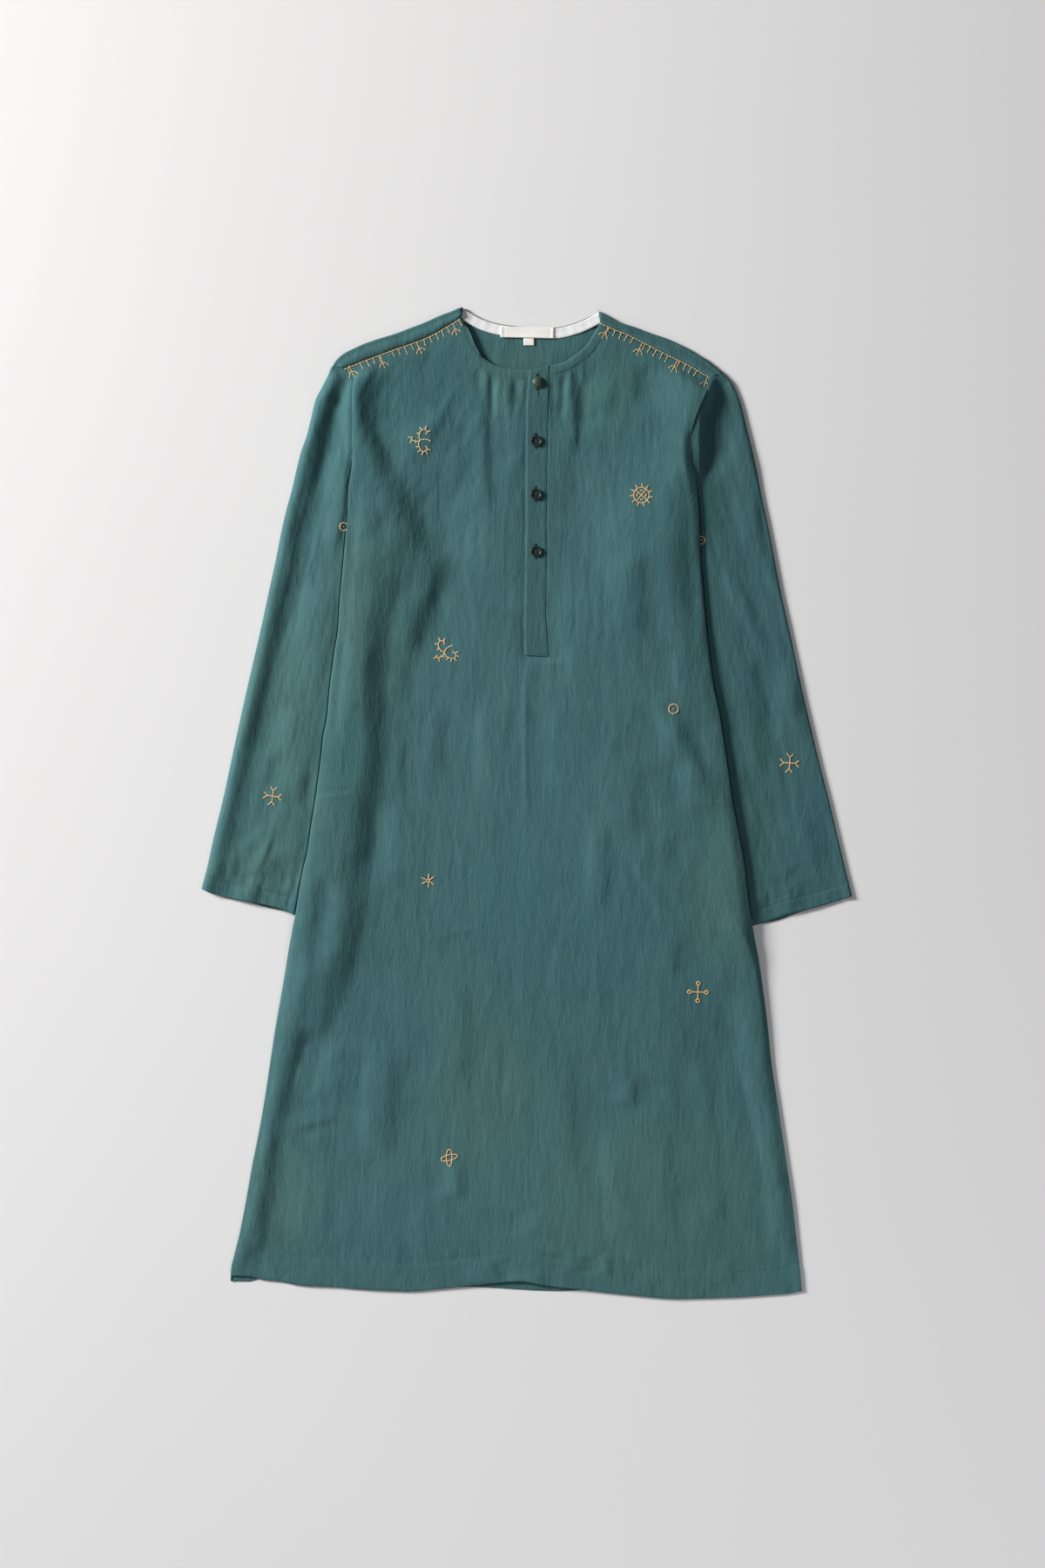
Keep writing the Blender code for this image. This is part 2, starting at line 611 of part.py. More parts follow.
def make_buttons():
    small = ((0.0, 1.9), (4.3, 2.0), (5.2, BUTTON_HEIGHT), (BUTTON_RADIUS, 2.0),
             (BUTTON_RADIUS, 0.7), (5.2, 0.0), (0.0, 0.0))
    domed = ((0.0, TOP_BUTTON_HEIGHT), (2.8, 4.0), (5.0, 2.9), (TOP_BUTTON_RADIUS, 1.5),
             (5.6, 0.6), (3.0, 0.0), (0.0, 0.0))
    levels = [-509.0] + list(ROW_LEVELS)
    for number, (x, y) in enumerate(BUTTONS, 1):
        profile = domed if number == 1 else small
        bm = bmesh.new()
        verts = [bm.verts.new((r * MM, 0.0, z * MM)) for r, z in profile]
        for a, b in zip(verts, verts[1:]):
            bm.edges.new((a, b))
        rgb = (0.06, 0.10, 0.05) if number == 1 else (0.012, 0.02, 0.018)
        obj = add_object("button_%d" % number, bm, material("button_%d_horn" % number, rgb, 0.4), 0.0)
        rows = len(ROW_LEVELS) + len(TOP_SHARES)
        high = max(front_point(r, c)[2] for r in range(rows + 1) for c in (BAND_L, BAND_L + 1, BAND_R)
                   if abs(front_point(r, c)[1] - y) < 45.0)
        obj.location = (x * MM, y * MM, (high + 2 * LAY + BAND) * MM)
        turn = obj.modifiers.new("turned", "SCREW")
        turn.steps = turn.render_steps = 12
        turn.use_merge_vertices = True
        turn.merge_threshold = 0.00001
        turn.use_smooth_shade = True


for old in list(bpy.data.objects):
    bpy.data.objects.remove(old, do_unlink=True)
collection = bpy.data.collections.new("kurta_tunic")
bpy.context.scene.collection.children.link(collection)

make_front()
make_back()
make_sleeve("sleeve_left", SLEEVE_LEFT, "left")
make_sleeve("sleeve_right", SLEEVE_RIGHT, "right")
make_placket()
make_neck_trim()
make_buttons()
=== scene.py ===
import math

import bpy
import numpy as np
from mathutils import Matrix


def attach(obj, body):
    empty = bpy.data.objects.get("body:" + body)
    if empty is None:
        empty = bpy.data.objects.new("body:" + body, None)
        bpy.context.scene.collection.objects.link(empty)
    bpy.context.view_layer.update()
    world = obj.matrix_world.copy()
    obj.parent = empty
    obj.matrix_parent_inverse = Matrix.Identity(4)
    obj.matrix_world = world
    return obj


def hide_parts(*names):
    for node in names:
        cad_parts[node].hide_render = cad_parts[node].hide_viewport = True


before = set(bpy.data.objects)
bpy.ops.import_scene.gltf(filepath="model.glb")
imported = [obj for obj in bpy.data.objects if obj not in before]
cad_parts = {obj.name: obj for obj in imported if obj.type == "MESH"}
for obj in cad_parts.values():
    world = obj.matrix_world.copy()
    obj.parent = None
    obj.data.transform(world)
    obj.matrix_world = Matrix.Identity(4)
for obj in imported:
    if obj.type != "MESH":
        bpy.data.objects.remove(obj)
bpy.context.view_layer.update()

UNIT = 0.92
CENTRE = (605.0, 921.75)
LIGHT_AWAY = (0.94, 0.34)      # plan direction in which the light travels


# ------------------------------------------------------------------ small maths
def pchip(xs, ys, x):
    """Monotone cubic through (xs, ys), read at the array x."""
    xs, ys = np.asarray(xs, float), np.asarray(ys, float)
    if xs[0] > xs[-1]:
        xs, ys = xs[::-1], ys[::-1]
    h = np.diff(xs)
    r = np.diff(ys) / h
    m = np.zeros(len(xs))
    m[0], m[-1] = r[0], r[-1]
    for i in range(1, len(xs) - 1):
        if r[i - 1] * r[i] > 0.0:
            wa, wb = 2 * h[i] + h[i - 1], h[i] + 2 * h[i - 1]
            m[i] = (wa + wb) / (wa / r[i - 1] + wb / r[i])
    x = np.clip(np.asarray(x, float), xs[0], xs[-1])
    i = np.clip(np.searchsorted(xs, x, side="right") - 1, 0, len(xs) - 2)
    s = (x - xs[i]) / h[i]
    return ((1 + 2 * s) * (1 - s) ** 2 * ys[i] + s * (1 - s) ** 2 * h[i] * m[i]
            + s * s * (3 - 2 * s) * ys[i + 1] + s * s * (s - 1) * h[i] * m[i + 1])


def ease(t):
    t = np.clip(t, 0.0, 1.0)
    return t * t * (3 - 2 * t)


def mix(a, b, f):
    return a + (b - a) * f


def roll(d, radius):
    """Quarter-round rise from 0 at an edge to 1 at a distance of radius."""
    t = 1.0 - np.clip(np.asarray(d, float) / radius, 0.0, 1.0)
    return np.sqrt(np.clip(1.0 - t * t, 0.0, 1.0))


class Line:
    """Smooth line through plan points, read by share of its length."""

    def __init__(self, points):
        p = np.asarray(points, float)
        step = np.hypot(*np.diff(p, axis=0).T)
        self.points = p
        self.key = np.concatenate([[0.0], np.cumsum(step)])
        self.length = self.key[-1]
        self.key = self.key / self.length

    def at(self, share):
        return pchip(self.key, self.points[:, 0], share), pchip(self.key, self.points[:, 1], share)

    def dense(self, step=3.0):
        n = max(2, int(math.ceil(self.length / step)) + 1)
        return np.stack(self.at(np.linspace(0.0, 1.0, n)), axis=1)


GRADIENTS = {}


def noise(a, b, seed):
    """Smooth gradient noise of about -1 to 1, from a seeded table."""
    if seed not in GRADIENTS:
        angle = np.random.default_rng(seed).uniform(0, 2 * np.pi, (256, 256))
        GRADIENTS[seed] = (np.cos(angle), np.sin(angle))
    ga, gb = GRADIENTS[seed]
    ia, ib = np.floor(a).astype(int), np.floor(b).astype(int)
    fa, fb = a - ia, b - ib
    wa, wb = (f ** 3 * (f * (6 * f - 15) + 10) for f in (fa, fb))

    def corner(da, db):
        i, j = (ia + da) & 255, (ib + db) & 255
        return ga[i, j] * (fa - da) + gb[i, j] * (fb - db)

    return 1.5 * mix(mix(corner(0, 0), corner(1, 0), wa), mix(corner(0, 1), corner(1, 1), wa), wb)


def nearest(u, v, path):
    """Signed distance to a path, positive on its right-hand side when it runs
    down the sheet, and the share of the path's length at the nearest point."""
    a, b = path[:-1], path[1:]
    d = b - a
    size = np.hypot(d[:, 0], d[:, 1])
    start = np.concatenate([[0.0], np.cumsum(size)[:-1]])
    best = np.full(u.shape, 1e9)
    side = np.ones(u.shape)
    share = np.zeros(u.shape)
    for k in range(len(a)):
        pu, pv = u - a[k, 0], v - a[k, 1]
        f = np.clip((pu * d[k, 0] + pv * d[k, 1]) / (size[k] ** 2 + 1e-9), 0.0, 1.0)
        far = np.hypot(pu - f * d[k, 0], pv - f * d[k, 1])
        near = far < best
        best = np.where(near, far, best)
        side = np.where(near, np.where(pu * d[k, 1] - pv * d[k, 0] >= 0, 1.0, -1.0), side)
        share = np.where(near, (start[k] + f * size[k]), share)
    return best * side, share / size.sum()


def relief(u, v, strokes, ends=0.3):
    """Sum of listed creases.  A stroke is (kind, half width, height, points):
    R a soft ridge or trough, D a slope turned from the light, L one turned to it."""
    out = np.zeros(u.shape)
    for number, (kind, width, height, points) in enumerate(strokes):
        path = Line(points).dense(5.0)
        reach = width * (3.0 if kind == "R" else 6.0)
        lo, hi = path.min(0) - reach, path.max(0) + reach
        hit = (u > lo[0]) & (u < hi[0]) & (v > lo[1]) & (v < hi[1])
        if not hit.any():
            continue
        d, t = nearest(u[hit], v[hit], path)
        fade = ease(t / ends) * ease((1.0 - t) / ends)
        tip = np.where((t <= 0.0) | (t >= 1.0), 0.0, 1.0)
        uneven = 1.0 + 0.28 * noise(t * 5.0 + 3.1 * number, np.full(t.shape, 0.37 * number), 5)
        w = width * uneven
        if kind != "R":
            z_gain = 1.0 + 0.75 * float(ease((width - 4.0) / 6.0))
        if kind == "R":
            z = height * np.exp(-(d / w) ** 2)
        else:
            run = path[-1] - path[0]
            across = np.array([run[1], -run[0]])
            sign = 1.0 if across @ np.array(LIGHT_AWAY) > 0 else -1.0
            z = z_gain * height * np.tanh(d / w) * np.exp(-(d / (3.6 * w)) ** 2) * sign * (-1.0 if kind == "D" else 1.0)
        out[hit] += z * fade * tip
    return out


# ------------------------------------------------------------------ outlines, (u, v)
BODY_LEFT = ((395, 423), (408, 430), (405.5, 440), (404.5, 457), (405, 482), (404.5, 507), (405, 520),
             (404, 537), (400.5, 560), (399.5, 590), (397, 617), (394, 652), (390.5, 690), (388.5, 723),
             (384, 751), (379, 790), (375.5, 826), (371.5, 846), (369, 870), (366, 893), (363, 915),
             (358, 946), (353, 979), (348, 1000), (344, 1022), (340, 1046), (336, 1065), (330, 1100),
             (323, 1140), (316, 1180), (310, 1220), (304, 1260), (297, 1300), (289, 1340), (282, 1380),
             (274, 1420), (268.5, 1442), (265, 1458), (264.5, 1470))
BODY_RIGHT = ((816, 433), (811, 450), (804, 466), (798, 481), (793, 503), (794.5, 530), (798.5, 545),
              (800, 560), (803, 594), (804, 636), (807, 675), (811, 721), (814, 750), (818, 780),
              (826, 820), (832, 858), (837, 893), (840, 915), (846, 947), (854, 990), (860, 1039),
              (864, 1062), (867, 1080), (871, 1100), (877, 1140), (882, 1180), (886, 1220), (892, 1260),
              (898, 1300), (904, 1340), (910, 1380), (914.5, 1420), (918.5, 1455), (921, 1483))
SEAM_LEFT = Line(((395, 423), (411, 416.5), (429, 409.5), (447, 402.8), (469, 395), (488, 388), (504, 380), (519, 371), (530, 364.5)))
SEAM_RIGHT = Line(((689, 370), (702, 376), (720, 383), (738, 392), (766, 406.5), (787, 416.5), (802, 425), (816, 433)))
NECK = Line(((530, 364.5), (535, 376), (540, 389), (546, 400), (553, 408.6), (560, 414), (567, 418),
             (579, 422), (598, 424.7), (610, 425), (626, 421), (647, 415.6), (661, 407), (673, 397),
             (680, 386), (686, 376), (689, 370)))
FOLD_LEFT = Line(((383, 417.5), (388, 411), (395, 405), (407, 399), (422, 393), (439, 387), (459, 381), (474, 375),
                  (489, 369), (503, 363), (518, 357), (529.5, 351.5)))
FOLD_RIGHT = Line(((688.5, 357), (700, 363), (711, 369), (728, 375), (745, 381), (762, 387), (776, 393),
                   (789, 399), (798, 405), (808, 411), (816, 417), (828.5, 426.5)))
NECK_BACK = Line(((529.5, 351.5), (543, 359.5), (560, 367.5), (575, 371.5), (600, 374.5), (636, 375.5),
                  (660, 370.5), (675, 364), (688.5, 357)))
HEM_FRONT = ((262, 1465), (287, 1466), (299, 1469), (324, 1472), (345, 1476), (384, 1478), (423, 1481),
             (470, 1483), (496, 1481), (526, 1478), (545, 1476), (572, 1473), (600, 1471.5), (625, 1476),
             (675, 1482), (720, 1487), (780, 1491.5), (841, 1490), (887, 1487), (905, 1485.5), (923, 1482))
HEM_BACK = ((262, 1471.5), (285, 1471.5), (300, 1468), (345, 1473), (423, 1478), (496, 1479), (540, 1478),
            (570, 1479), (600, 1481), (640, 1482.5), (675, 1481.5), (700, 1480), (780, 1487), (841, 1486),
            (887, 1483), (923, 1478))
# Inner folds of the sleeves under the body: v, u left, u right (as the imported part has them).
INNER_FOLD = ((470.1, 442.0, 770.2), (529.9, 439.8, 765.9), (600.0, 436.0, 770.2), (700.0, 436.5, 771.3),
              (754.9, 435.4, 772.9), (800.0, 433.3, 776.7), (900.0, 424.6, 784.3), (1000.0, 408.3, 801.7),
              (1079.9, 389.8, 820.8), (1179.3, 374.6, 832.2), (1300.0, 359.3, 845.2), (1475.0, 333.3, 863.7))
# Sleeves, head to cuff: outer fold v, v at which the section meets the body's edge, inner fold u, v.
SLEEVE_LEFT = ((417.0, 537.0, 418.0, 546.8), (454.9, 557.1, 420.2, 584.8), (504.9, 579.9, 425.1, 616.3),
               (565.2, 607.1, 430.5, 648.9), (658.2, 682.1, 433.8, 696.8), (759.8, 788.1, 431.1, 806.0),
               (879.9, 908.2, 421.3, 925.0), (959.8, 990.2, 405.0, 1008.2), (1020.5, 1051.5, 384.9, 1065.8))
SLEEVE_RIGHT = ((427.0, 542.0, 788.2, 546.8), (457.1, 558.7, 785.4, 587.0), (504.9, 583.2, 781.1, 619.6),
                (565.2, 612.0, 776.7, 652.2), (659.8, 688.1, 773.5, 702.2), (759.8, 791.9, 777.8, 809.8),
                (879.9, 912.0, 788.2, 928.9), (959.8, 996.8, 806.1, 1014.1), (1029.0, 1063.0, 826.2, 1078.3))
OUTER_LEFT = ((383, 417.5), (379, 423), (376.5, 430), (374, 435), (368, 447), (362, 459), (359, 471), (356.5, 482),
              (352, 500), (345, 520), (340, 540), (335.5, 560), (330, 580), (325, 600), (317, 640), (308.3, 680),
              (299.7, 720), (290.5, 760), (281.3, 800), (272.5, 840), (264, 880), (255.3, 920), (245.5, 960),
              (236.5, 1000), (231, 1020.5))
OUTER_RIGHT = ((828.5, 426.5), (833, 431), (837.5, 435), (845, 447), (849.5, 459), (853, 471), (855.5, 482), (860, 500),
               (865, 520), (869.3, 540), (873, 560), (877, 580), (881.5, 600), (889.3, 640), (897, 680),
               (906, 720), (914.6, 760), (923.2, 800), (932.6, 840), (942.2, 880), (952.5, 920), (962, 960),
               (971.7, 1000), (979, 1029))
CUFF_LEFT = Line(((231, 1020.5), (244, 1026), (262, 1031), (281, 1034.5), (300, 1038), (326, 1045), (340.5, 1051.5)))
CUFF_RIGHT = Line(((979, 1029), (962, 1034.5), (948, 1039), (930, 1044), (906, 1050), (886, 1056.5), (865, 1063)))

PLACKET_LEFT = ((608.5, 424.6), (606.3, 440), (604.8, 470), (604.2, 540), (604.0, 600), (603.2, 670), (602.3, 715), (603.0, 753))
PLACKET_RIGHT = ((630.5, 420), (630, 440), (629, 480), (628, 540), (627.3, 600), (627, 660), (626.5, 700), (629.6, 745), (630.2, 754))


def across(table, v):
    return pchip([p[1] for p in table], [p[0] for p in table], v)


def down(table, u):
    return pchip([p[0] for p in table], [p[1] for p in table], u)


def body_left(v):
    return across(BODY_LEFT, v)


def body_right(v):
    return across(BODY_RIGHT, v)


def back_lift(u, v):
    """Height of the back's underside: lifted where a sleeve lies under it."""
    keys = [row[0] for row in INNER_FOLD]
    lies = ease((v - 492.4) / 32.6) * ease((1130.4 - v) / 43.5)
    from_left = (pchip(keys, [row[1] for row in INNER_FOLD], v) + 4.35 + 26.1 - u) / 26.1
    from_right = (u - pchip(keys, [row[2] for row in INNER_FOLD], v) + 4.35 + 26.1) / 26.1
    return 3.2 * lies * np.clip(np.maximum(from_left, from_right), 0.0, 1.0)


# ------------------------------------------------------------------ creases
FRONT_CREASES = (
    # chest, left half: the pocket inside the armhole and the folds that fan from the neck
    ("D", 7, 0.7, ((437, 421), (420, 438), (415, 460), (420, 485), (432, 505), (441, 527), (449, 552))),
    ("L", 11, 0.7, ((480, 470), (468, 492), (462, 520), (470, 545))),
    ("L", 8, 0.6, ((497, 462), (490, 480), (484, 500))),
    ("D", 5, 0.55, ((529, 445), (512, 475), (499, 500), (494, 525))),
    ("D", 3.5, 0.35, ((547, 452), (533, 482), (517, 512))),
    ("D", 3.5, 0.35, ((557, 468), (545, 500), (527, 536), (519, 560))),
    ("L", 3.5, 0.35, ((521, 438), (508, 466), (493, 494))),
    ("D", 4.5, 0.4, ((542, 518), (528, 548), (514, 580))),
    ("L", 4.5, 0.35, ((535, 560), (520, 590), (508, 612))),
    ("L", 3, 0.5, ((553, 421), (550, 450))),
    ("D", 5.5, 1.1, ((557, 427), (559, 470), (560, 520), (563, 562), (566, 606))),
    ("L", 6, 1.0, ((575, 430), (572, 455), (570, 484))),
    ("D", 4.5, 0.8, ((588, 430), (587, 450), (585, 470))),
    ("L", 3, 0.5, ((597, 428), (596, 458))),
    ("L", 4, 0.4, ((577, 531), (601, 521))),
    ("D", 5.5, 0.5, ((594, 534), (592, 566))),
    ("R", 2.2, 0.35, ((583, 580), (579, 612), (581, 650))),
    ("D", 14.0, 1.2, ((455, 552), (472, 588), (488, 620), (500, 646), (509, 662))),
    ("D", 10.5, 1.8, ((518, 626), (511, 648), (502, 668), (490, 700), (481, 728), (477, 752), (479, 772))),
    ("L", 18, 0.9, ((541, 535), (538, 590), (540, 640), (541, 690))),
    ("L", 8, 0.9, ((411, 556), (409, 600), (407, 655))),
    ("D", 7, 0.3, ((432, 575), (434, 604), (428, 628))),
    ("L", 8, 0.8, ((406, 612), (401, 690), (397, 760), (392, 832), (389, 880))),
    ("D", 5.0, 0.5, ((428, 735), (425, 770), (427, 800))),
    ("D", 5.0, 0.4, ((417, 925), (424, 962), (414, 1000))),
    ("D", 5.5, 0.5, ((466, 752), (464, 786), (468, 812))),
    ("L", 3.2, 0.25, ((588, 662), (589, 768))),
    ("D", 4, 0.2, ((596, 688), (597, 752))),
    ("L", 12, 1.0, ((450, 905), (446, 960), (442, 1028))),
    ("L", 9, 1.0, ((384, 1004), (377, 1066), (366, 1128))),
    ("D", 8, 0.8, ((371, 990), (364, 1030), (358, 1070), (350, 1105))),
    ("D", 6, 0.6, ((346, 1130), (342, 1158), (337, 1186))),
    ("R", 2.4, 0.4, ((486, 1080), (522, 1071), (562, 1063))),
    ("D", 8, 0.6, ((512, 800), (506, 850), (509, 905))),
    ("L", 9, 0.6, ((552, 790), (550, 860), (556, 930))),
    ("D", 9, 0.5, ((540, 1130), (536, 1200), (541, 1270))),
    ("D", 3.2, 0.32, ((470, 838), (462, 880), (466, 930))),
    ("R", 3.0, 0.35, ((540, 950), (530, 1000), (533, 1040))),
    # chest, right half
    ("L", 3.5, 0.5, ((631, 420), (632, 436), (630, 452))),
    ("L", 5, 0.9, ((651, 423), (650, 452), (649, 490))),
    ("D", 4.2, 1.3, ((661, 420), (663, 455), (663, 490), (660, 532))),
    ("L", 14, 1.0, ((693, 414), (690, 450), (688, 505))),
    ("D", 9, 0.9, ((736, 408), (734, 440), (730, 474))),
    ("D", 8, 0.6, ((703, 436), (700, 462), (695, 488))),
    ("R", 1.9, 0.28, ((738, 460), (736, 522))),
    ("R", 1.9, 0.24, ((746, 464), (745, 516))),
    ("R", 1.9, -0.26, ((751, 468), (749, 528))),
    ("L", 18, 1.7, ((784, 412), (777, 470), (771, 530), (764, 575))),
    ("D", 12, 1.3, ((738, 622), (735, 680), (735, 750))),
    ("L", 16, 0.8, ((702, 560), (700, 620), (703, 690))),
    ("D", 14, 0.8, ((785, 585), (782, 650), (786, 730))),
    ("D", 3.0, 0.4, ((671, 610), (676, 680), (678, 766))),
    ("D", 3.0, 0.36, ((688, 640), (690, 700), (689, 760))),
    ("R", 3.2, 0.4, ((655, 622), (657, 690), (653, 740))),
    ("L", 6.5, 0.7, ((652, 730), (651, 794))),
    ("L", 4.5, 0.6, ((773, 735), (775, 806))),
    ("L", 7.5, 0.7, ((742, 795), (757, 828), (777, 864))),
    ("D", 8.5, 1.2, ((773, 812), (789, 850), (806, 886), (812, 905))),
    ("L", 6, 0.7, ((806, 832), (810, 858), (812, 888))),
    ("L", 10.5, 1.0, ((786, 868), (788, 902), (788, 938))),
    ("L", 6.5, 0.6, ((677, 926), (677, 978), (679, 1030))),
    ("D", 5.5, 0.6, ((695, 938), (696, 1000), (693, 1068))),
    ("L", 20, 1.2, ((818, 895), (827, 960), (832, 1040), (838, 1138))),
    ("L", 3.2, 0.4, ((723, 980), (734, 1006), (747, 1034))),
    ("L", 3.2, 0.4, ((739, 1006), (748, 1034), (758, 1064))),
    ("D", 5.5, 0.5, ((768, 954), (770, 996))),
    ("D", 7.5, 0.8, ((779, 1074), (777, 1126))),
    ("L", 3.0, 0.35, ((645, 1056), (637, 1100), (627, 1150))),
    ("D", 8, 0.6, ((735, 870), (729, 920), (731, 975))),
    ("L", 9, 0.5, ((627, 800), (631, 870), (628, 930))),
    ("D", 2.4, 0.6, ((795, 494), (790, 508), (789, 524), (792, 548))),
    # skirt, left
    ("D", 10.0, 1.7, ((349, 1160), (342, 1205), (334, 1240), (325, 1274), (318, 1300))),
    ("D", 10.0, 1.5, ((324, 1250), (318, 1290), (313, 1328), (307, 1370), (300, 1410), (294, 1455), (291, 1490))),
    ("L", 13, 1.2, ((374, 1182), (368, 1222), (362, 1262))),
    ("D", 4, 0.8, ((332, 1303), (360, 1293), (394, 1284))),
    ("D", 6.5, 0.7, ((533, 1328), (532, 1354), (530, 1382))),
    ("L", 7.5, 0.7, ((514, 1332), (512, 1380))),
    ("D", 2.8, 0.34, ((562, 1174), (561, 1230), (563, 1286))),
    ("D", 2.8, 0.34, ((575, 1180), (575, 1284))),
    ("L", 3, 0.36, ((580, 1226), (581, 1264))),
    ("L", 10, 0.7, ((430, 1180), (421, 1250), (414, 1330))),
    ("D", 9, 0.6, ((463, 1190), (452, 1270), (447, 1350))),
    ("D", 6, 0.45, ((390, 1330), (378, 1380), (374, 1430))),
    ("L", 6, 0.4, ((480, 1370), (472, 1420), (474, 1452))),
    # skirt, right
    ("L", 13, 1.6, ((846, 1105), (853, 1200), (868, 1300), (884, 1400), (889, 1480))),
    ("L", 5.5, 0.5, ((721, 1236), (716, 1252), (710, 1270))),
    ("D", 9, 0.8, ((732, 1232), (729, 1254), (726, 1278))),
    ("D", 7, 0.6, ((829, 1374), (832, 1404))),
    ("D", 6.5, 0.7, ((843, 1440), (847, 1478))),
    ("L", 8.5, 0.6, ((604, 1388), (603, 1420))),
    ("D", 10, 0.6, ((655, 1190), (660, 1280), (668, 1370))),
    ("L", 10, 0.6, ((690, 1280), (699, 1370), (706, 1440))),
    ("D", 8, 0.5, ((762, 1290), (772, 1370), (779, 1440))),
    ("L", 7, 0.45, ((790, 1180), (800, 1260), (808, 1330))),
    # pressed line below the placket
    ("R", 2.6, 0.75, ((604, 748), (603, 790), (603, 840), (604, 900), (604, 962))),
    ("L", 5, 0.35, ((600, 755), (600, 870))),
    # hem
    ("L", 5.5, 1.0, ((284, 1428), (297, 1434), (311, 1440))),
    ("D", 5.5, 0.9, ((312, 1444), (318, 1458), (322, 1472))),
    ("D", 7.5, 0.8, ((568, 1444), (572, 1474))),
    ("D", 7, 0.7, ((622, 1456), (628, 1484))),
    ("L", 7.5, 0.8, ((650, 1436), (652, 1462))),
    ("L", 7, 0.9, ((688, 1440), (690, 1464))),
    ("D", 3.5, 0.7, ((700, 1440), (702, 1466))),
    ("D", 4.5, 0.5, ((719, 1448), (722, 1476))),
)
LEFT_SLEEVE_CREASES = (
    ("D", 6.5, 1.2, ((397, 427), (387, 445), (380, 470))),
    ("D", 7.5, 1.8, ((404, 420), (393, 438), (384, 458), (377, 484), (369, 515), (362, 548), (357, 580))),
    ("D", 3.5, 0.6, ((404, 452), (403, 478), (404, 512))),
    ("D", 8, 1.0, ((398, 422), (384, 442), (377, 470), (371, 505), (363, 540), (354, 580), (341, 620),
                    (338, 645), (331, 680), (322, 720), (312, 760), (301, 800), (291, 840), (281, 880),
                    (268, 920), (257, 960), (252, 985))),
    ("L", 5, 1.2, ((401, 436), (397, 458), (397, 490), (399, 520), (401, 542))),
    ("L", 14, 1.3, ((386, 495), (379, 540), (381, 585), (372, 640))),
    ("D", 6, 0.6, ((394, 586), (392, 606), (388, 632))),
    ("D", 6, 0.5, ((377, 742), (374, 764), (370, 790))),
    ("D", 8, 0.7, ((354, 880), (349, 905), (342, 930))),
    ("L", 10, 0.8, ((352, 660), (345, 705), (336, 750))),
    ("D", 6, 0.25, ((357, 800), (348, 835), (340, 862))),
    ("L", 8, 0.7, ((330, 800), (322, 840), (318, 872))),
    ("D", 4, 0.9, ((315, 864), (311, 884), (308, 906))),
    ("L", 5, 0.7, ((328, 914), (316, 938), (303, 962))),
    ("L", 5, 0.7, ((303, 944), (286, 962), (268, 980))),
    ("L", 7, 0.9, ((314, 956), (303, 982), (298, 1006))),
    ("D", 3, 1.2, ((316, 958), (305, 984), (293, 1010))),
    ("D", 8, 0.9, ((318, 978), (311, 998), (300, 1014))),
    ("L", 7, 0.9, ((344, 992), (336, 1016), (328, 1044))),
    ("D", 3, 0.8, ((255, 988), (253, 1008))),
    ("D", 5, 0.8, ((274, 982), (267, 1012))),
    ("D", 7, 0.9, ((300, 1014), (290, 1042))),
    ("L", 5, 0.7, ((289, 1002), (282, 1032))),
    ("L", 7, 0.8, ((276, 1012), (268, 1038))),
    ("D", 4, 1.1, ((330, 1006), (338, 1014), (342, 1026))),
    ("R", 2.0, -2.0, ((352, 982), (341, 1010), (327, 1048))),
    ("R", 2.5, 0.4, ((372, 590), (362, 632), (349, 668))),
    ("R", 2.5, 0.35, ((340, 705), (328, 742), (318, 770))),
)
RIGHT_SLEEVE_CREASES = (
    ("L", 10, 0.6, ((843, 500), (846, 530), (848, 590), (852, 645))),
    ("R", 2.6, 0.5, ((823, 478), (822, 502))),
    ("R", 3.0, 0.6, ((819, 440), (824, 470), (822, 510))),
    ("L", 11, 1.0, ((898, 752), (895, 800), (893, 862))),
    ("D", 5, 0.7, ((866, 752), (869, 778), (872, 806))),
    ("D", 9, 0.8, ((876, 775), (878, 830), (881, 900))),
    ("L", 4.5, 0.6, ((820, 646), (843, 690), (862, 730), (881, 772))),
    ("D", 4.5, 0.5, ((836, 640), (856, 680), (874, 722))),
    ("L", 4.5, 0.5, ((862, 610), (880, 660), (892, 700))),
    ("D", 9, 0.35, ((868, 915), (872, 960), (874, 1004))),
    ("L", 9, 0.3, ((900, 910), (908, 950), (915, 990))),
    ("D", 10, 0.5, ((930, 930), (938, 970), (946, 1004))),
    ("D", 7, 0.8, ((917, 1012), (918, 1042))),
    ("D", 4.5, 0.6, ((909, 992), (911, 1008))),
    ("L", 7, 0.8, ((897, 1026), (899, 1052))),
    ("D", 9, 0.9, ((916, 786), (921, 822))),
    ("R", 3.0, 0.5, ((890, 640), (898, 700), (905, 745))),
    ("D", 8, 0.7, ((868, 560), (874, 610), (880, 660))),
)
NECK_GATHERS = ("neck", 11, (552, 560, 566, 572, 579, 586, 594, 628, 634, 641, 648, 655, 662, 670),
                (0.35, 0.8, 0.55, 0.75, 0.5, 0.7, 0.35, 0.35, 0.6, 0.45, 0.8, 0.6, 0.5, 0.3))


def seeded_puckers(seed, line, first, last, gap, long, high, wide=2.2, lean=0.35):
    """Small creases that cross a row of stitches, unevenly spaced and sized."""
    rng = np.random.default_rng(seed)
    out, at = [], first
    while at < last:
        u, v = line(at)
        size = long * rng.uniform(0.5, 1.4)
        tilt = rng.uniform(-lean, lean) + 0.12
        start = rng.uniform(-0.25, 0.35) * size
        out.append(("R", wide * rng.uniform(0.7, 1.3), high * rng.uniform(-1.0, 1.0),
                    ((u - tilt * start, v + start), (u - tilt * (start - 0.5 * size), v + start - 0.5 * size),
                     (u - tilt * (start - size) + rng.uniform(-2, 2), v + start - size))))
        at += gap * rng.uniform(0.5, 1.6)
    return tuple(out)


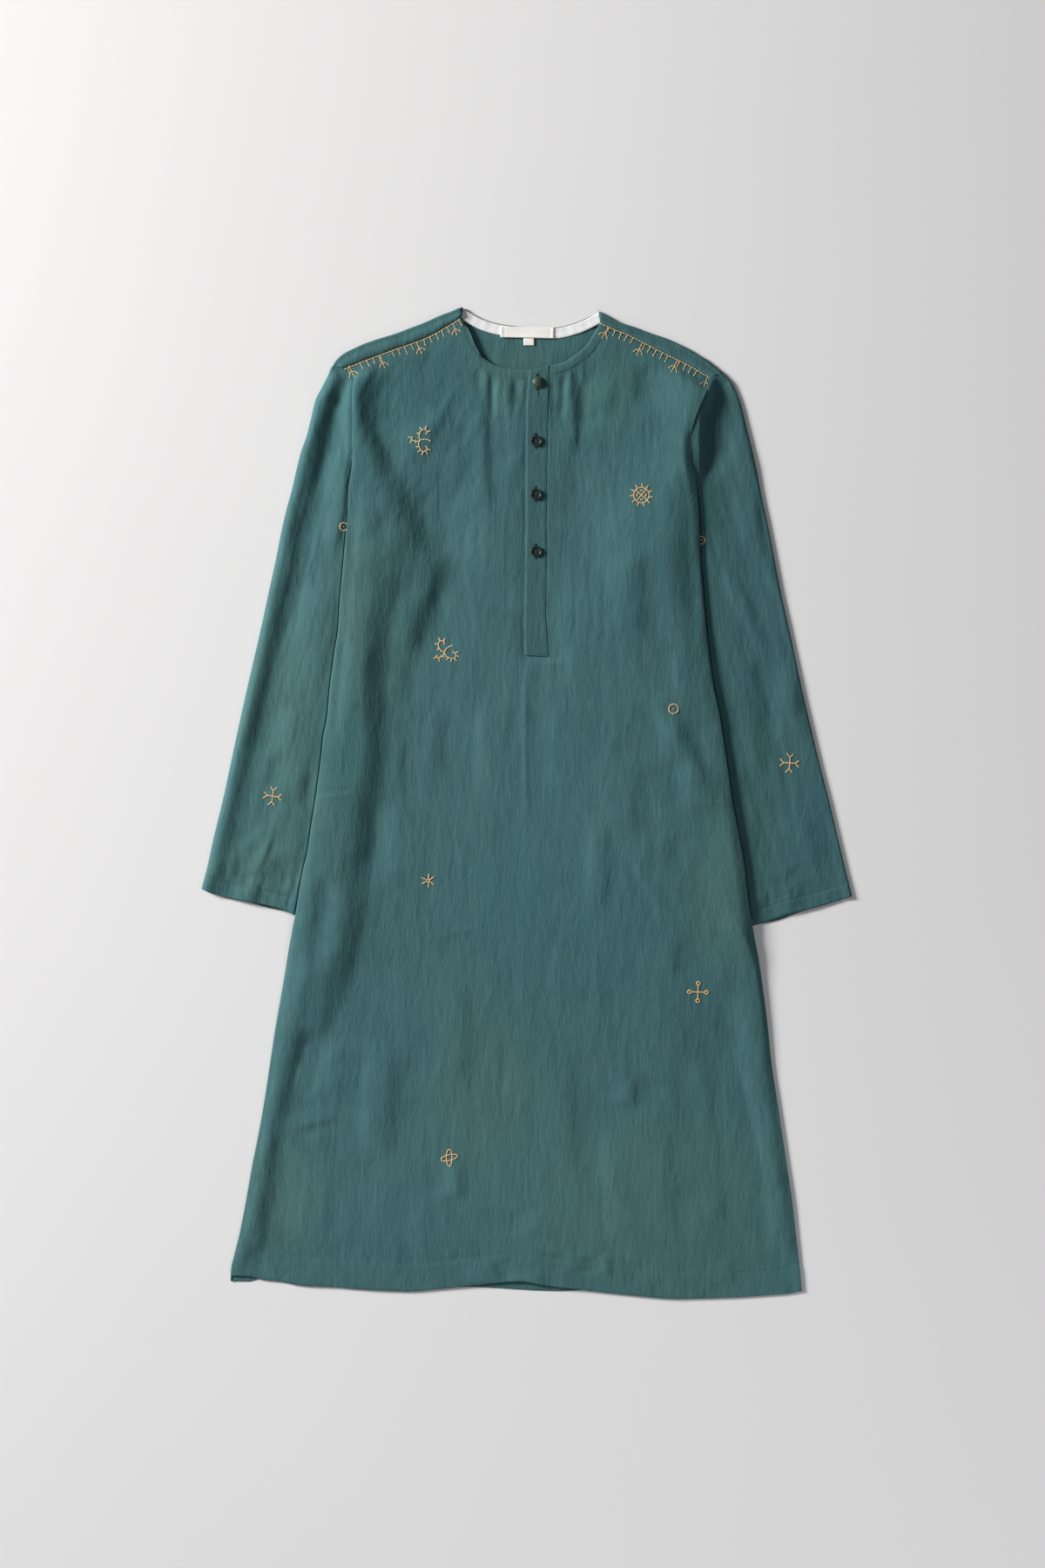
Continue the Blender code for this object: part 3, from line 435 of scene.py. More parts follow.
def gathers():
    """Short creases that hang from the turned-in neck edge."""
    out = []
    for i, (u, size) in enumerate(zip(NECK_GATHERS[2], NECK_GATHERS[3])):
        v = float(down(NECK.points, u)) + 8.5
        long = 30 + 34 * size + 7 * math.sin(2.7 * i)
        out.append(("R", 2.4 + 1.1 * size, (0.95 if i % 2 else -0.95) * size,
                    ((u, v), (u - 1.2, v + 0.5 * long), (u - 2.0 + 3 * math.sin(i), v + long))))
    return tuple(out)


HEM_RISE = 31.0     # stitch row above the hem's edge
HEM_PUCKERS = (seeded_puckers(11, lambda u: (u, float(down(HEM_FRONT, u)) - HEM_RISE), 280, 912, 13.0, 15.0, 0.5)
               + seeded_puckers(12, lambda u: (u, float(down(HEM_FRONT, u)) - 6.0), 285, 912, 21.0, 16.0, 0.4, 3.2))
CUFF_LEFT_PUCKERS = seeded_puckers(21, lambda u: (u, float(down(CUFF_LEFT.points, u)) - 18.0), 238, 334, 9.0, 13.0, 0.6)
CUFF_RIGHT_PUCKERS = seeded_puckers(22, lambda u: (u, float(down(CUFF_RIGHT.points[::-1], u)) - 18.0), 872, 972, 9.0, 13.0, 0.6)


# ------------------------------------------------------------------ heights, mm
SHELL = 0.6          # cloth shell of the panels


def streaks(u, v):
    """Fine soft streaks that run down the cloth and spread with the skirt."""
    left, right = body_left(v), body_right(v)
    f = (u - 0.5 * (left + right)) / (right - left)
    wander = 0.35 * noise(u / 90.0, v / 140.0, 31)
    out = 0.26 * noise(f * 17.0 + wander, v / 190.0, 32)
    out += 0.17 * noise(f * 34.0 + 1.5 * wander, v / 95.0, 33)
    out += 0.085 * noise(f * 62.0 + 2.0 * wander, v / 60.0, 34)
    chest = ease((720 - v) / 200.0)
    fan = chest * ease((585 - u) / 60.0)
    out = out * (1.0 - 0.35 * fan)
    out += 0.08 * noise((u + 0.55 * v) / 9.0, (v - 0.4 * u) / 38.0, 35) * (0.4 + 0.6 * chest)
    out += fan * (0.22 * noise((0.80 * u + 0.60 * v) / 7.5, (0.80 * v - 0.60 * u) / 46.0, 37)
                  + 0.14 * noise((0.80 * u + 0.60 * v) / 3.8, (0.80 * v - 0.60 * u) / 26.0, 38))
    out += chest * (1.0 - fan) * (0.12 * noise((u + 0.06 * v) / 4.6, v / 60.0, 39) + 0.14 * noise((u - 0.1 * v) / 11.0, v / 90.0, 40))
    out += 0.36 * noise(u / 75.0, v / 170.0, 36)
    return out


def sleeve_streaks(u, v, side):
    lean = 0.26 if side == "left" else -0.26
    a, b = u + lean * v, v - lean * u
    out = 0.22 * noise(a / 12.0, b / 120.0, 41) + 0.12 * noise(a / 6.0, b / 60.0, 42)
    out += 0.10 * noise((u - 0.5 * v) / 9.0, (v + 0.5 * u) / 40.0, 43)
    out += 0.30 * noise(a / 42.0, b / 100.0, 44)
    return out


# Line along which the front comes down from over the left sleeve: v, u, half width, drop, slow tail.
FALL_LEFT = ((424, 428, 11, 2.6, 1.2), (440, 421, 21, 5.6, 2.2), (462, 418, 20, 5.8, 2.3), (485, 419, 18, 5.3, 2.0),
             (506, 427, 16, 4.9, 1.6), (528, 437, 16, 5.0, 1.0), (555, 450, 18, 5.1, 0.4), (585, 462, 24, 5.3, 0.0),
             (615, 472, 26, 5.5, 0.0), (645, 460, 28, 5.6, 0.2), (672, 450, 23, 5.7, 0.6), (700, 441, 18, 5.8, 1.0),
             (735, 435, 16, 5.9, 1.4), (775, 431, 16, 6.0, 1.7), (820, 431, 16, 6.0, 1.8), (850, 432, 16, 5.9, 1.7),
             (885, 428, 17, 5.9, 1.6), (925, 421, 18, 5.9, 1.5), (970, 416, 21, 5.9, 1.4), (1000, 409, 22, 5.8, 1.4),
             (1025, 408, 21, 5.6, 1.3), (1060, 406, 19, 5.3, 1.2), (1092, 400, 18, 5.0, 0.9), (1117, 393, 18, 4.7, 0.6),
             (1142, 385, 15, 3.8, 0.3), (1172, 376, 11, 2.7, 0.0), (1200, 368, 9, 1.0, 0.0), (1235, 352, 10, 0.0, 0.0))
# How much the front rises over the right sleeve: v, rise, and how far in from the edge the rise begins.
RISE_RIGHT = ((424, 2.6, 95), (440, 5.6, 95), (460, 6.8, 100), (520, 7.2, 110), (560, 7.4, 130), (640, 7.7, 220), (750, 7.8, 300),
              (900, 7.6, 330), (1000, 7.2, 330), (1040, 6.0, 320), (1080, 4.4, 300), (1120, 3.0, 280), (1160, 2.2, 260),
              (1220, 1.2, 240), (1280, 0.0, 240))
# Height of the front's edges, width of their rolls, and the run of the right edge's fall: v, left, right, roll, roll, run.
EDGES = ((423, 4.6, 4.6, 8, 6, 12), (436, 8.0, 9.6, 8, 4, 8), (455, 10.8, 13.0, 7, 3, 6), (480, 10.9, 13.3, 7, 3, 6),
         (505, 10.1, 12.6, 8, 4, 8), (530, 9.2, 10.6, 8, 6, 16), (560, 8.6, 8.2, 9, 9, 28), (600, 8.4, 6.9, 9, 8, 38), (650, 8.6, 6.6, 9, 8, 41),
         (690, 8.6, 7.0, 9, 8, 40), (730, 8.6, 8.2, 9, 9, 35), (770, 8.6, 9.0, 9, 9, 33), (820, 8.6, 9.2, 9, 9, 33),
         (980, 8.6, 9.2, 9, 9, 32), (1030, 7.8, 8.0, 9, 9, 28), (1056, 6.4, 5.6, 9, 7, 20), (1080, 3.6, 2.4, 9, 5, 11),
         (1100, 2.3, 2.0, 9, 4, 7), (1125, 1.75, 1.9, 10, 4, 6), (1480, 1.7, 1.9, 10, 4, 6))
# Step from the front's right edge down to the sleeve beside it: v, height.
STEP_RIGHT = ((545, 2.4), (600, 2.5), (700, 2.9), (740, 3.6), (800, 4.6), (880, 5.0), (960, 4.9), (1000, 4.3), (1040, 3.4), (1062, 2.4))
# On the right sleeve, beside its seam: v, strip that stays high, end of the low pocket, in pixels from the body's edge.
POCKET = ((433, 0, 13), (445, 0.5, 19), (460, 1, 26), (475, 3, 33), (490, 7, 40), (505, 9, 39), (530, 7, 24), (560, 2, 9), (600, 2, 8))


def column(table, k, v):
    return pchip([row[0] for row in table], [row[k] for row in table], v)


NECK_PATH = NECK.dense(3.0)
SHOULDER_PATHS = (SEAM_LEFT.dense(4.0), SEAM_RIGHT.dense(4.0))
FRONT_ALL = FRONT_CREASES + gathers() + HEM_PUCKERS


def front_z(u, v):
    """Height of the front's upper side."""
    u, v = np.broadcast_arrays(np.asarray(u, float), np.asarray(v, float))
    shape = u.shape
    u, v = u.ravel(), v.ravel()
    dl, dr = u - body_left(v), body_right(v) - u
    lift = back_lift(u, v)
    c, w, drop, tail = (column(FALL_LEFT, k, v) for k in (1, 2, 3, 4))
    full = mix(4.9, 3.7, ease((v - 1060.0) / 160.0)) + drop * (1.0 - ease((u - c + w) / (2.0 * w))) + tail * (1.0 - ease((u - c + 6.0) / 64.0))
    full = full + column(RISE_RIGHT, 1, v) * (1.0 - ease((dr - 14.0) / column(RISE_RIGHT, 2, v)))
    full = full + 0.9 * np.exp(-((u - 468) / 30.0) ** 2 - ((v - 500) / 60.0) ** 2) - 1.7 * np.exp(-((u - 447) / 26.0) ** 2 - ((v - 452) / 36.0) ** 2)
    # the skirt thins out towards its right edge, where it lies on the back alone
    full = full - 1.5 * ease((v - 1060.0) / 60.0) * (1.0 - ease((dr - 30.0) / 120.0))
    low_l, low_r, wide_l, wide_r, run = (column(EDGES, k, v) for k in (1, 2, 3, 4, 5))
    low_l, low_r = np.minimum(low_l, full), np.minimum(low_r, full)
    z = low_l + (full - low_l) * (0.52 * roll(dl, wide_l) + 0.48 * ease(dl / (2.7 * wide_l)))
    share = 0.30
    z = np.minimum(z, low_r + (full - low_r) * (share * roll(dr, wide_r)
                                                + (1.0 - share) * (1.0 - np.maximum(0.0, 1.0 - np.maximum(dr, 0.0) / run) ** 1.35)))
    taut = 0.8 * ease((v - 430.0) / 14.0) * ease((512.0 - v) / 26.0)
    quiet = 0.15 + 0.85 * np.minimum(ease(dl / 12.0), mix(ease(dr / 12.0), 1.0, taut))
    z += quiet * (relief(u, v, FRONT_ALL) + streaks(u, v))
    # shoulders: the front runs in under the wrapped strip
    for path in SHOULDER_PATHS:
        near = (v < 470) & (u > path[:, 0].min() - 14) & (u < path[:, 0].max() + 14)
        if near.any():
            d = np.abs(nearest(u[near], v[near], path)[0])
            z[near] = mix(mix(3.75, 4.65, ease((d - 1.2) / 2.6)), z[near], ease((d - 3.0) / 17.0))
    # neckline: turned-in edge with its own roll, then a soft step at its end
    near = (v < 470) & (u > 508) & (u < 712)
    if near.any():
        d = np.abs(nearest(u[near], v[near], NECK_PATH)[0])
        band = ease((12.0 - d) / 4.0)
        tame = mix(z[near], 4.9, 0.80 * band)
        z[near] = tame + 0.22 * band - 1.25 * (1.0 - roll(d, 3.2)) - 0.12 * np.exp(-((d - 11.0) / 1.5) ** 2)
    # armhole seams dip where the sleeve is sewn on
    arm = ease((v - 424.0) / 10.0) * ease((560.0 - v) / 30.0)
    z -= 0.7 * arm * (np.exp(-(dl / 2.4) ** 2) + ease((v - 478.0) / 26.0) * np.exp(-(dr / 2.4) ** 2))
    # placket: pressed flat, a groove beside its free edge and around its end
    pl, pr = across(PLACKET_LEFT, v), across(PLACKET_RIGHT, v)
    lead = mix(7.0, 24.0, ease((v - 560.0) / 90.0))
    trail = mix(6.0, 30.0, ease((v - 500.0) / 80.0))
    on = ease((u - pl + lead) / (lead - 1.0)) * ease((pr + trail - u) / (trail - 1.0)) * ease((762.0 - v) / 8.0)
    z = mix(z, 4.75 + 0.35 * (z - 4.75), 0.85 * on)
    z -= (0.80 - 0.25 * ease((v - 600.0) / 50.0)) * np.exp(-((u - pl + 1.0) / 1.5) ** 2) * ease((757.0 - v) / 6.0) * ease((v - 428.0) / 12.0)
    z += (0.78 - 0.22 * ease((v - 640.0) / 60.0)) * ease((u - pr + 1.8) / 2.2) * np.exp(-np.maximum(0.0, u - pr) / 28.0) * ease((775.0 - v) / 26.0) * ease((v - 414.0) / 16.0)
    z -= 0.55 * np.exp(-((v - 756.0 - 0.03 * (u - 605)) / 1.7) ** 2) * ease((u - 601.0) / 3.0) * ease((643.0 - u) / 4.0)
    z -= 0.35 * np.exp(-((u - 641.0) / 1.4) ** 2) * ease((v - 741.0) / 4.0) * ease((758.0 - v) / 4.0)
    # hip seams, short pressed lines in from the side seams
    for (ua, va, ub, vb) in ((366, 911, 407, 905.5), (815, 916, 842, 918.5)):
        f = np.clip((u - ua) / (ub - ua), 0.0, 1.0)
        off = v - mix(va, vb, f)
        on = ease((u - ua + 3) / 4.0) * ease((ub - u) / 6.0)
        z += on * (-0.75 * np.exp(-(off / 1.5) ** 2) + 0.45 * np.exp(-((off - 5.0) / 4.0) ** 2))
    # hem: doubled cloth below the stitch row, a rounded edge, raised in the middle
    dh = down(HEM_FRONT, u) - v
    doubled = ease((HEM_RISE + 1.0 - dh) / 3.0)
    raised = np.exp(-((u - 612.0) / 62.0) ** 2)
    near_hem = ease((90.0 - dh) / 90.0)
    z -= near_hem * (1.6 - 1.5 * raised) * ease(np.minimum(dl, dr) / 20.0)
    z += 0.35 * doubled - 0.4 * np.exp(-((dh - HEM_RISE) / 1.5) ** 2)
    z -= 0.6 * (1.0 - roll(dh, 2.6))
    floor = lift + 0.6 + SHELL + 0.45
    z = np.maximum(z, floor)
    return z.reshape(shape)


# ------------------------------------------------------------------ mesh helpers
def metres(u, v, z):
    u, v, z = np.broadcast_arrays(u, v, z)
    return np.stack([(u - CENTRE[0]) * UNIT, (CENTRE[1] - v) * UNIT, z], axis=-1) * 0.001


def add_mesh(name, verts, faces, mat, smooth=True):
    mesh = bpy.data.meshes.new(name)
    mesh.from_pydata(np.asarray(verts, float).reshape(-1, 3).tolist(), [], [list(f) for f in faces])
    mesh.validate()
    if smooth:
        mesh.polygons.foreach_set("use_smooth", [True] * len(mesh.polygons))
    mesh.update()
    obj = bpy.data.objects.new(name, mesh)
    obj.data.materials.append(mat)
    bpy.context.scene.collection.objects.link(obj)
    return obj


def grid_faces(rows, cols, start=0):
    i, j = np.meshgrid(np.arange(rows - 1), np.arange(cols - 1), indexing="ij")
    a = start + i * cols + j
    return np.stack([a, a + 1, a + cols + 1, a + cols], axis=-1).reshape(-1, 4)


def baked(obj):
    """Applies an object's modifiers, so that its mesh is final."""
    graph = bpy.context.evaluated_depsgraph_get()
    mesh = bpy.data.meshes.new_from_object(obj.evaluated_get(graph))
    old = obj.data
    obj.modifiers.clear()
    obj.data = mesh
    mesh.name = old.name
    bpy.data.meshes.remove(old)
    return obj


def thicken(obj, wall):
    shell = obj.modifiers.new("wall", "SOLIDIFY")
    shell.thickness = wall * 0.001
    shell.offset = -1.0
    shell.use_even_offset = False
    return baked(obj)


def two_sided(name, u, v, z, wall, mat):
    """Shell with a fine upper side and an underside of half its resolution."""
    rows, cols = z.shape
    padded = np.pad(z, 1, mode="edge")
    low = np.min([padded[a:a + rows, b:b + cols] for a in range(3) for b in range(3)], axis=0) - wall
    top = metres(u, v, z).reshape(-1, 3)
    under = metres(u[::2, ::2], v[::2, ::2], low[::2, ::2])
    r2, c2 = under.shape[:2]
    under = under.reshape(-1, 3)
    base = len(top)
    faces = [list(f) for f in grid_faces(rows, cols)]
    faces += [list(f[::-1]) for f in grid_faces(r2, c2, base)]

    def rim(top_ids, low_ids):
        for k in range(len(low_ids) - 1):
            a, b, c = top_ids[2 * k], top_ids[2 * k + 1], top_ids[2 * k + 2]
            d, e = low_ids[k], low_ids[k + 1]
            faces.append([b, a, d])
            faces.append([b, d, e])
            faces.append([c, b, e])

    ids, low_grid = np.arange(rows * cols).reshape(rows, cols), base + np.arange(r2 * c2).reshape(r2, c2)
    rim(ids[0, :], low_grid[0, :])
    rim(ids[:, -1], low_grid[:, -1])
    rim(ids[-1, ::-1], low_grid[-1, ::-1])
    rim(ids[::-1, 0], low_grid[::-1, 0])
    obj = add_mesh(name, np.concatenate([top, under]), faces, mat)
    return outward(obj)


def outward(obj):
    """Turns all faces out."""
    import bmesh
    bm = bmesh.new()
    bm.from_mesh(obj.data)
    bmesh.ops.recalc_face_normals(bm, faces=bm.faces)
    bm.to_mesh(obj.data)
    bm.free()
    return obj


# ------------------------------------------------------------------ body grids
WAIST = 560.0
EDGE_STEPS = np.array([0.0, 0.5, 1.1, 1.9, 2.9, 4.2, 6.0, 8.5])


def side_columns(v, total):
    """u of every column at levels v (one row each), finer beside the edges."""
    left, right = body_left(v)[..., None], body_right(v)[..., None]
    k = len(EDGE_STEPS)
    inner = total - 2 * k
    share = np.arange(1, inner + 1) / (inner + 1)
    span = (right - left - 2 * EDGE_STEPS[-1]) * share
    return np.concatenate([left + EDGE_STEPS, left + EDGE_STEPS[-1] + span, right - EDGE_STEPS[::-1]], axis=-1)


def lower_grid(total, hem, step, near):
    """Rows from the waist level to a hem curve."""
    long = 1478.0 - WAIST
    rows = int(round((long - near[-1]) / step))
    q = np.concatenate([np.linspace(0.0, 1.0 - near[-1] / long, rows), 1.0 - np.asarray(near[:-1][::-1]) / long])
    v = WAIST + np.repeat(q[:, None], total, axis=1) * long
    for _ in range(3):
        left, right = body_left(v), body_right(v)
        u0 = side_columns(WAIST + q * long, total)
        l0, r0 = u0[:, :1], u0[:, -1:]
        u = left + (u0 - l0) / (r0 - l0) * (right - left)
        v = WAIST + q[:, None] * (down(hem, u) - WAIST)
    return u, v


def upper_grid(base_u, left_line, top_lines, right_line, step, near):
    """Rows from the waist level to a top edge made of three lines, blended so
    that the sides follow the armholes."""
    total = base_u.size
    f = (base_u - base_u[0]) / (base_u[-1] - base_u[0])
    lengths = np.array([line.length for line in top_lines])
    ends = np.cumsum(lengths) / lengths.sum()
    corner_a, corner_b = np.argmin(np.abs(f - ends[0])), np.argmin(np.abs(f - ends[1]))
    tu, tv = np.zeros(total), np.zeros(total)
    for line, a, b in ((top_lines[0], 0, corner_a), (top_lines[1], corner_a, corner_b), (top_lines[2], corner_b, total - 1)):
        share = (f[a:b + 1] - f[a]) / (f[b] - f[a])
        tu[a:b + 1], tv[a:b + 1] = line.at(share)
    rows = int(round(140.0 / step))
    s = np.concatenate([np.linspace(0.0, 1.0 - near[-1] / 150.0, rows + 1)[1:], 1.0 - np.asarray(near[:-1][::-1]) / 150.0])
    lu, lv = left_line.at(s)
    ru, rv = right_line.at(s)
    bu, bv = base_u, np.full(total, WAIST)
    s2, f2 = s[:, None], f[None, :]
    u = mix(bu, tu, s2) + (1 - f2) * (lu[:, None] - mix(bu[0], tu[0], s2)) + f2 * (ru[:, None] - mix(bu[-1], tu[-1], s2))
    v = mix(bv, tv, s2) + (1 - f2) * (lv[:, None] - mix(bv[0], tv[0], s2)) + f2 * (rv[:, None] - mix(bv[-1], tv[-1], s2))
    return u, v, (corner_a, corner_b)


def armhole_line(table, top, extra=()):
    """Side line from the waist level up to the armhole's top."""
    pts = [p for p in table if top <= p[1] < WAIST - 1][::-1]
    first = (float(across(table, WAIST)), WAIST)
    return Line([first] + list(pts) + list(extra))


NEAR = (0.0, 0.6, 1.4, 2.6, 4.2, 6.4)


def build_front(mat):
    total = 191
    lu, lv = lower_grid(total, HEM_FRONT, 2.85, NEAR)
    uu, uv, _ = upper_grid(lu[0], armhole_line(BODY_LEFT, 423), (SEAM_LEFT, NECK, SEAM_RIGHT),
                           armhole_line(BODY_RIGHT, 433), 2.85, NEAR)
    u, v = np.concatenate([uu[::-1], lu]), np.concatenate([uv[::-1], lv])
    if u.shape[0] % 2 == 0:
        u, v = np.delete(u, -14, axis=0), np.delete(v, -14, axis=0)
    z = front_z(u, v)
    return two_sided("front_panel", u, v, z, SHELL, mat)


BACK_CREASES = (
    ("R", 7, 0.8, ((470, 640), (462, 720), (468, 800))), ("R", 9, 0.9, ((560, 700), (548, 820), (556, 930))),
    ("R", 8, 0.8, ((700, 620), (708, 720), (700, 820))), ("R", 6, 0.7, ((640, 900), (634, 1010), (642, 1120))),
    ("R", 10, 0.9, ((470, 1060), (452, 1180), (440, 1300))), ("R", 8, 0.8, ((740, 1010), (752, 1140), (768, 1260))),
    ("R", 9, 0.8, ((590, 1200), (584, 1310), (590, 1400))), ("R", 6, 0.6, ((380, 1210), (362, 1310), (350, 1390))),
    ("R", 7, 0.7, ((830, 1220), (848, 1330), (856, 1410))), ("R", 5, 0.6, ((450, 460), (470, 520), (480, 590))),
    ("R", 5, 0.6, ((750, 455), (736, 520), (730, 600))), ("R", 6, 0.6, ((600, 470), (596, 560), (604, 640))),
    ("R", 3.5, 0.5, ((566, 392), (574, 408), (570, 440))), ("R", 4.5, 0.6, ((640, 390), (634, 410), (640, 446))),
    ("R", 3.0, 0.4, ((604, 398), (608, 428))),
)


def back_z(u, v):
    """Height of the back's underside."""
    shape = u.shape
    u, v = u.ravel(), v.ravel()
    inside = np.minimum(ease((u - body_left(v)) / 20.0), ease((body_right(v) - u) / 20.0))
    z = relief(u, v, BACK_CREASES)
    z += 0.22 * np.maximum(0.0, noise(u / 26.0, v / 120.0, 51)) + 0.14 * np.maximum(0.0, noise(u / 11.0, v / 60.0, 52))
    hem = down(HEM_BACK, u) - v
    z += 0.25 * np.exp(-((hem - 30.0) / 1.4) ** 2)
    z = np.maximum(0.0, z) * inside * ease((v - 385.0) / 12.0)
    z = z + back_lift(u, v)
    # the side seams: the back's edges turn up to meet the front's
    for d, k in ((u - body_left(v), 1), (body_right(v) - u, 2)):
        meet = column(EDGES, k, v) - SHELL - 0.08
        up = np.maximum(0.0, meet - z) * ease((v - 545.0) / 20.0)
        z = z + up * (1.0 - ease(d / 1.7)) * np.where(d < 1.7, 1.0, 0.0)
    return z.reshape(shape)


WRAP_RADIUS = 2.3


def build_back(mat):
    total = 121
    lu, lv = lower_grid(total, HEM_BACK, 4.4, (0.0, 1.2, 3.4))
    normal_l, normal_r = np.array([-0.411, -0.911]), np.array([0.445, -0.896])
    inset = WRAP_RADIUS / UNIT
    fold_l = Line(FOLD_LEFT.points - inset * normal_l)
    fold_r = Line(FOLD_RIGHT.points - inset * normal_r)
    neck = Line(np.concatenate([fold_l.points[-1:] + (1.5, 0.6), NECK_BACK.points[1:-1], fold_r.points[:1] + (-1.5, 0.4)]))
    uu, uv, (ca, cb) = upper_grid(lu[0], armhole_line(BODY_LEFT, 423, [fold_l.points[0]]), (fold_l, neck, fold_r),
                                  armhole_line(BODY_RIGHT, 433, [fold_r.points[-1]]), 4.0, (0.0, 1.2, 3.4))
    u, v = np.concatenate([uu[::-1], lu]), np.concatenate([uv[::-1], lv])
    z = back_z(u, v)
    rows, cols = z.shape
    verts = [metres(u, v, z).reshape(-1, 3)]
    faces = [list(f) for f in grid_faces(rows, cols)]
    count = rows * cols
    for a, b, normal, seam, fold in ((0, ca, normal_l, SEAM_LEFT, FOLD_LEFT), (cb, cols - 1, normal_r, SEAM_RIGHT, FOLD_RIGHT)):
        bu, bv = u[0, a:b + 1], v[0, a:b + 1]
        share = (np.arange(b - a + 1)) / (b - a)
        if a == 0:
            span = np.hypot(bu - bu[0], bv - bv[0])
        else:
            span = np.hypot(bu - bu[0], bv - bv[0])
        share = span / span[-1]
        su, sv = seam.at(share)
        ring_u, ring_v, ring_z = [], [], []
        for k in range(1, 7):
            turn = math.pi * k / 6
            reach = inset * math.sin(turn)
            wave = 0.25 * np.sin(share * 23.0 + 1.3) * math.sin(turn)
            ring_u.append(bu + normal[0] * (reach + wave))
            ring_v.append(bv + normal[1] * (reach + wave))
            ring_z.append(np.full(bu.shape, WRAP_RADIUS * (1 - math.cos(turn))))
        for f in (0.12, 0.28, 0.46, 0.62, 0.76, 0.87, 0.95, 1.0):
            ring_u.append(mix(bu, su, f))
            ring_v.append(mix(bv, sv, f))
            soft = -0.5 * (1 - f) ** 2 + 1.0 * math.sin(math.pi * f ** 1.5) - 0.35 * math.exp(-((1 - f) / 0.07) ** 2)
            wave = 0.22 * np.sin(share * 31.0 + 2.0 * f) * math.sin(math.pi * f)
            ring_z.append(2 * WRAP_RADIUS + soft + wave)
        ru, rv, rz = (np.array(x) for x in (ring_u, ring_v, ring_z))
        verts.append(metres(ru, rv, rz).reshape(-1, 3))
        n = b - a + 1
        first = np.arange(a, b + 1)
        ids = np.concatenate([first[None, :], count + np.arange(ru.size).reshape(ru.shape)])
        quads = np.stack([ids[:-1, :-1], ids[1:, :-1], ids[1:, 1:], ids[:-1, 1:]], axis=-1).reshape(-1, 4)
        faces += [list(q) for q in quads]
        count += ru.size
    obj = add_mesh("back_panel", np.concatenate(verts), [f[::-1] for f in faces], mat)
    obj = face_down(obj)
    return thicken(obj, SHELL)


def face_down(obj):
    """Makes the open sheet's faces consistent, the main part looking down."""
    import bmesh
    bm = bmesh.new()
    bm.from_mesh(obj.data)
    bmesh.ops.recalc_face_normals(bm, faces=bm.faces)
    bm.faces.ensure_lookup_table()
    low = [f for f in bm.faces if f.calc_center_median().z < 0.0005]
    if sum(f.normal.z for f in low) > 0:
        bmesh.ops.reverse_faces(bm, faces=bm.faces)
    bm.to_mesh(obj.data)
    bm.free()
    return obj


# ------------------------------------------------------------------ sleeves
SLEEVES = {}


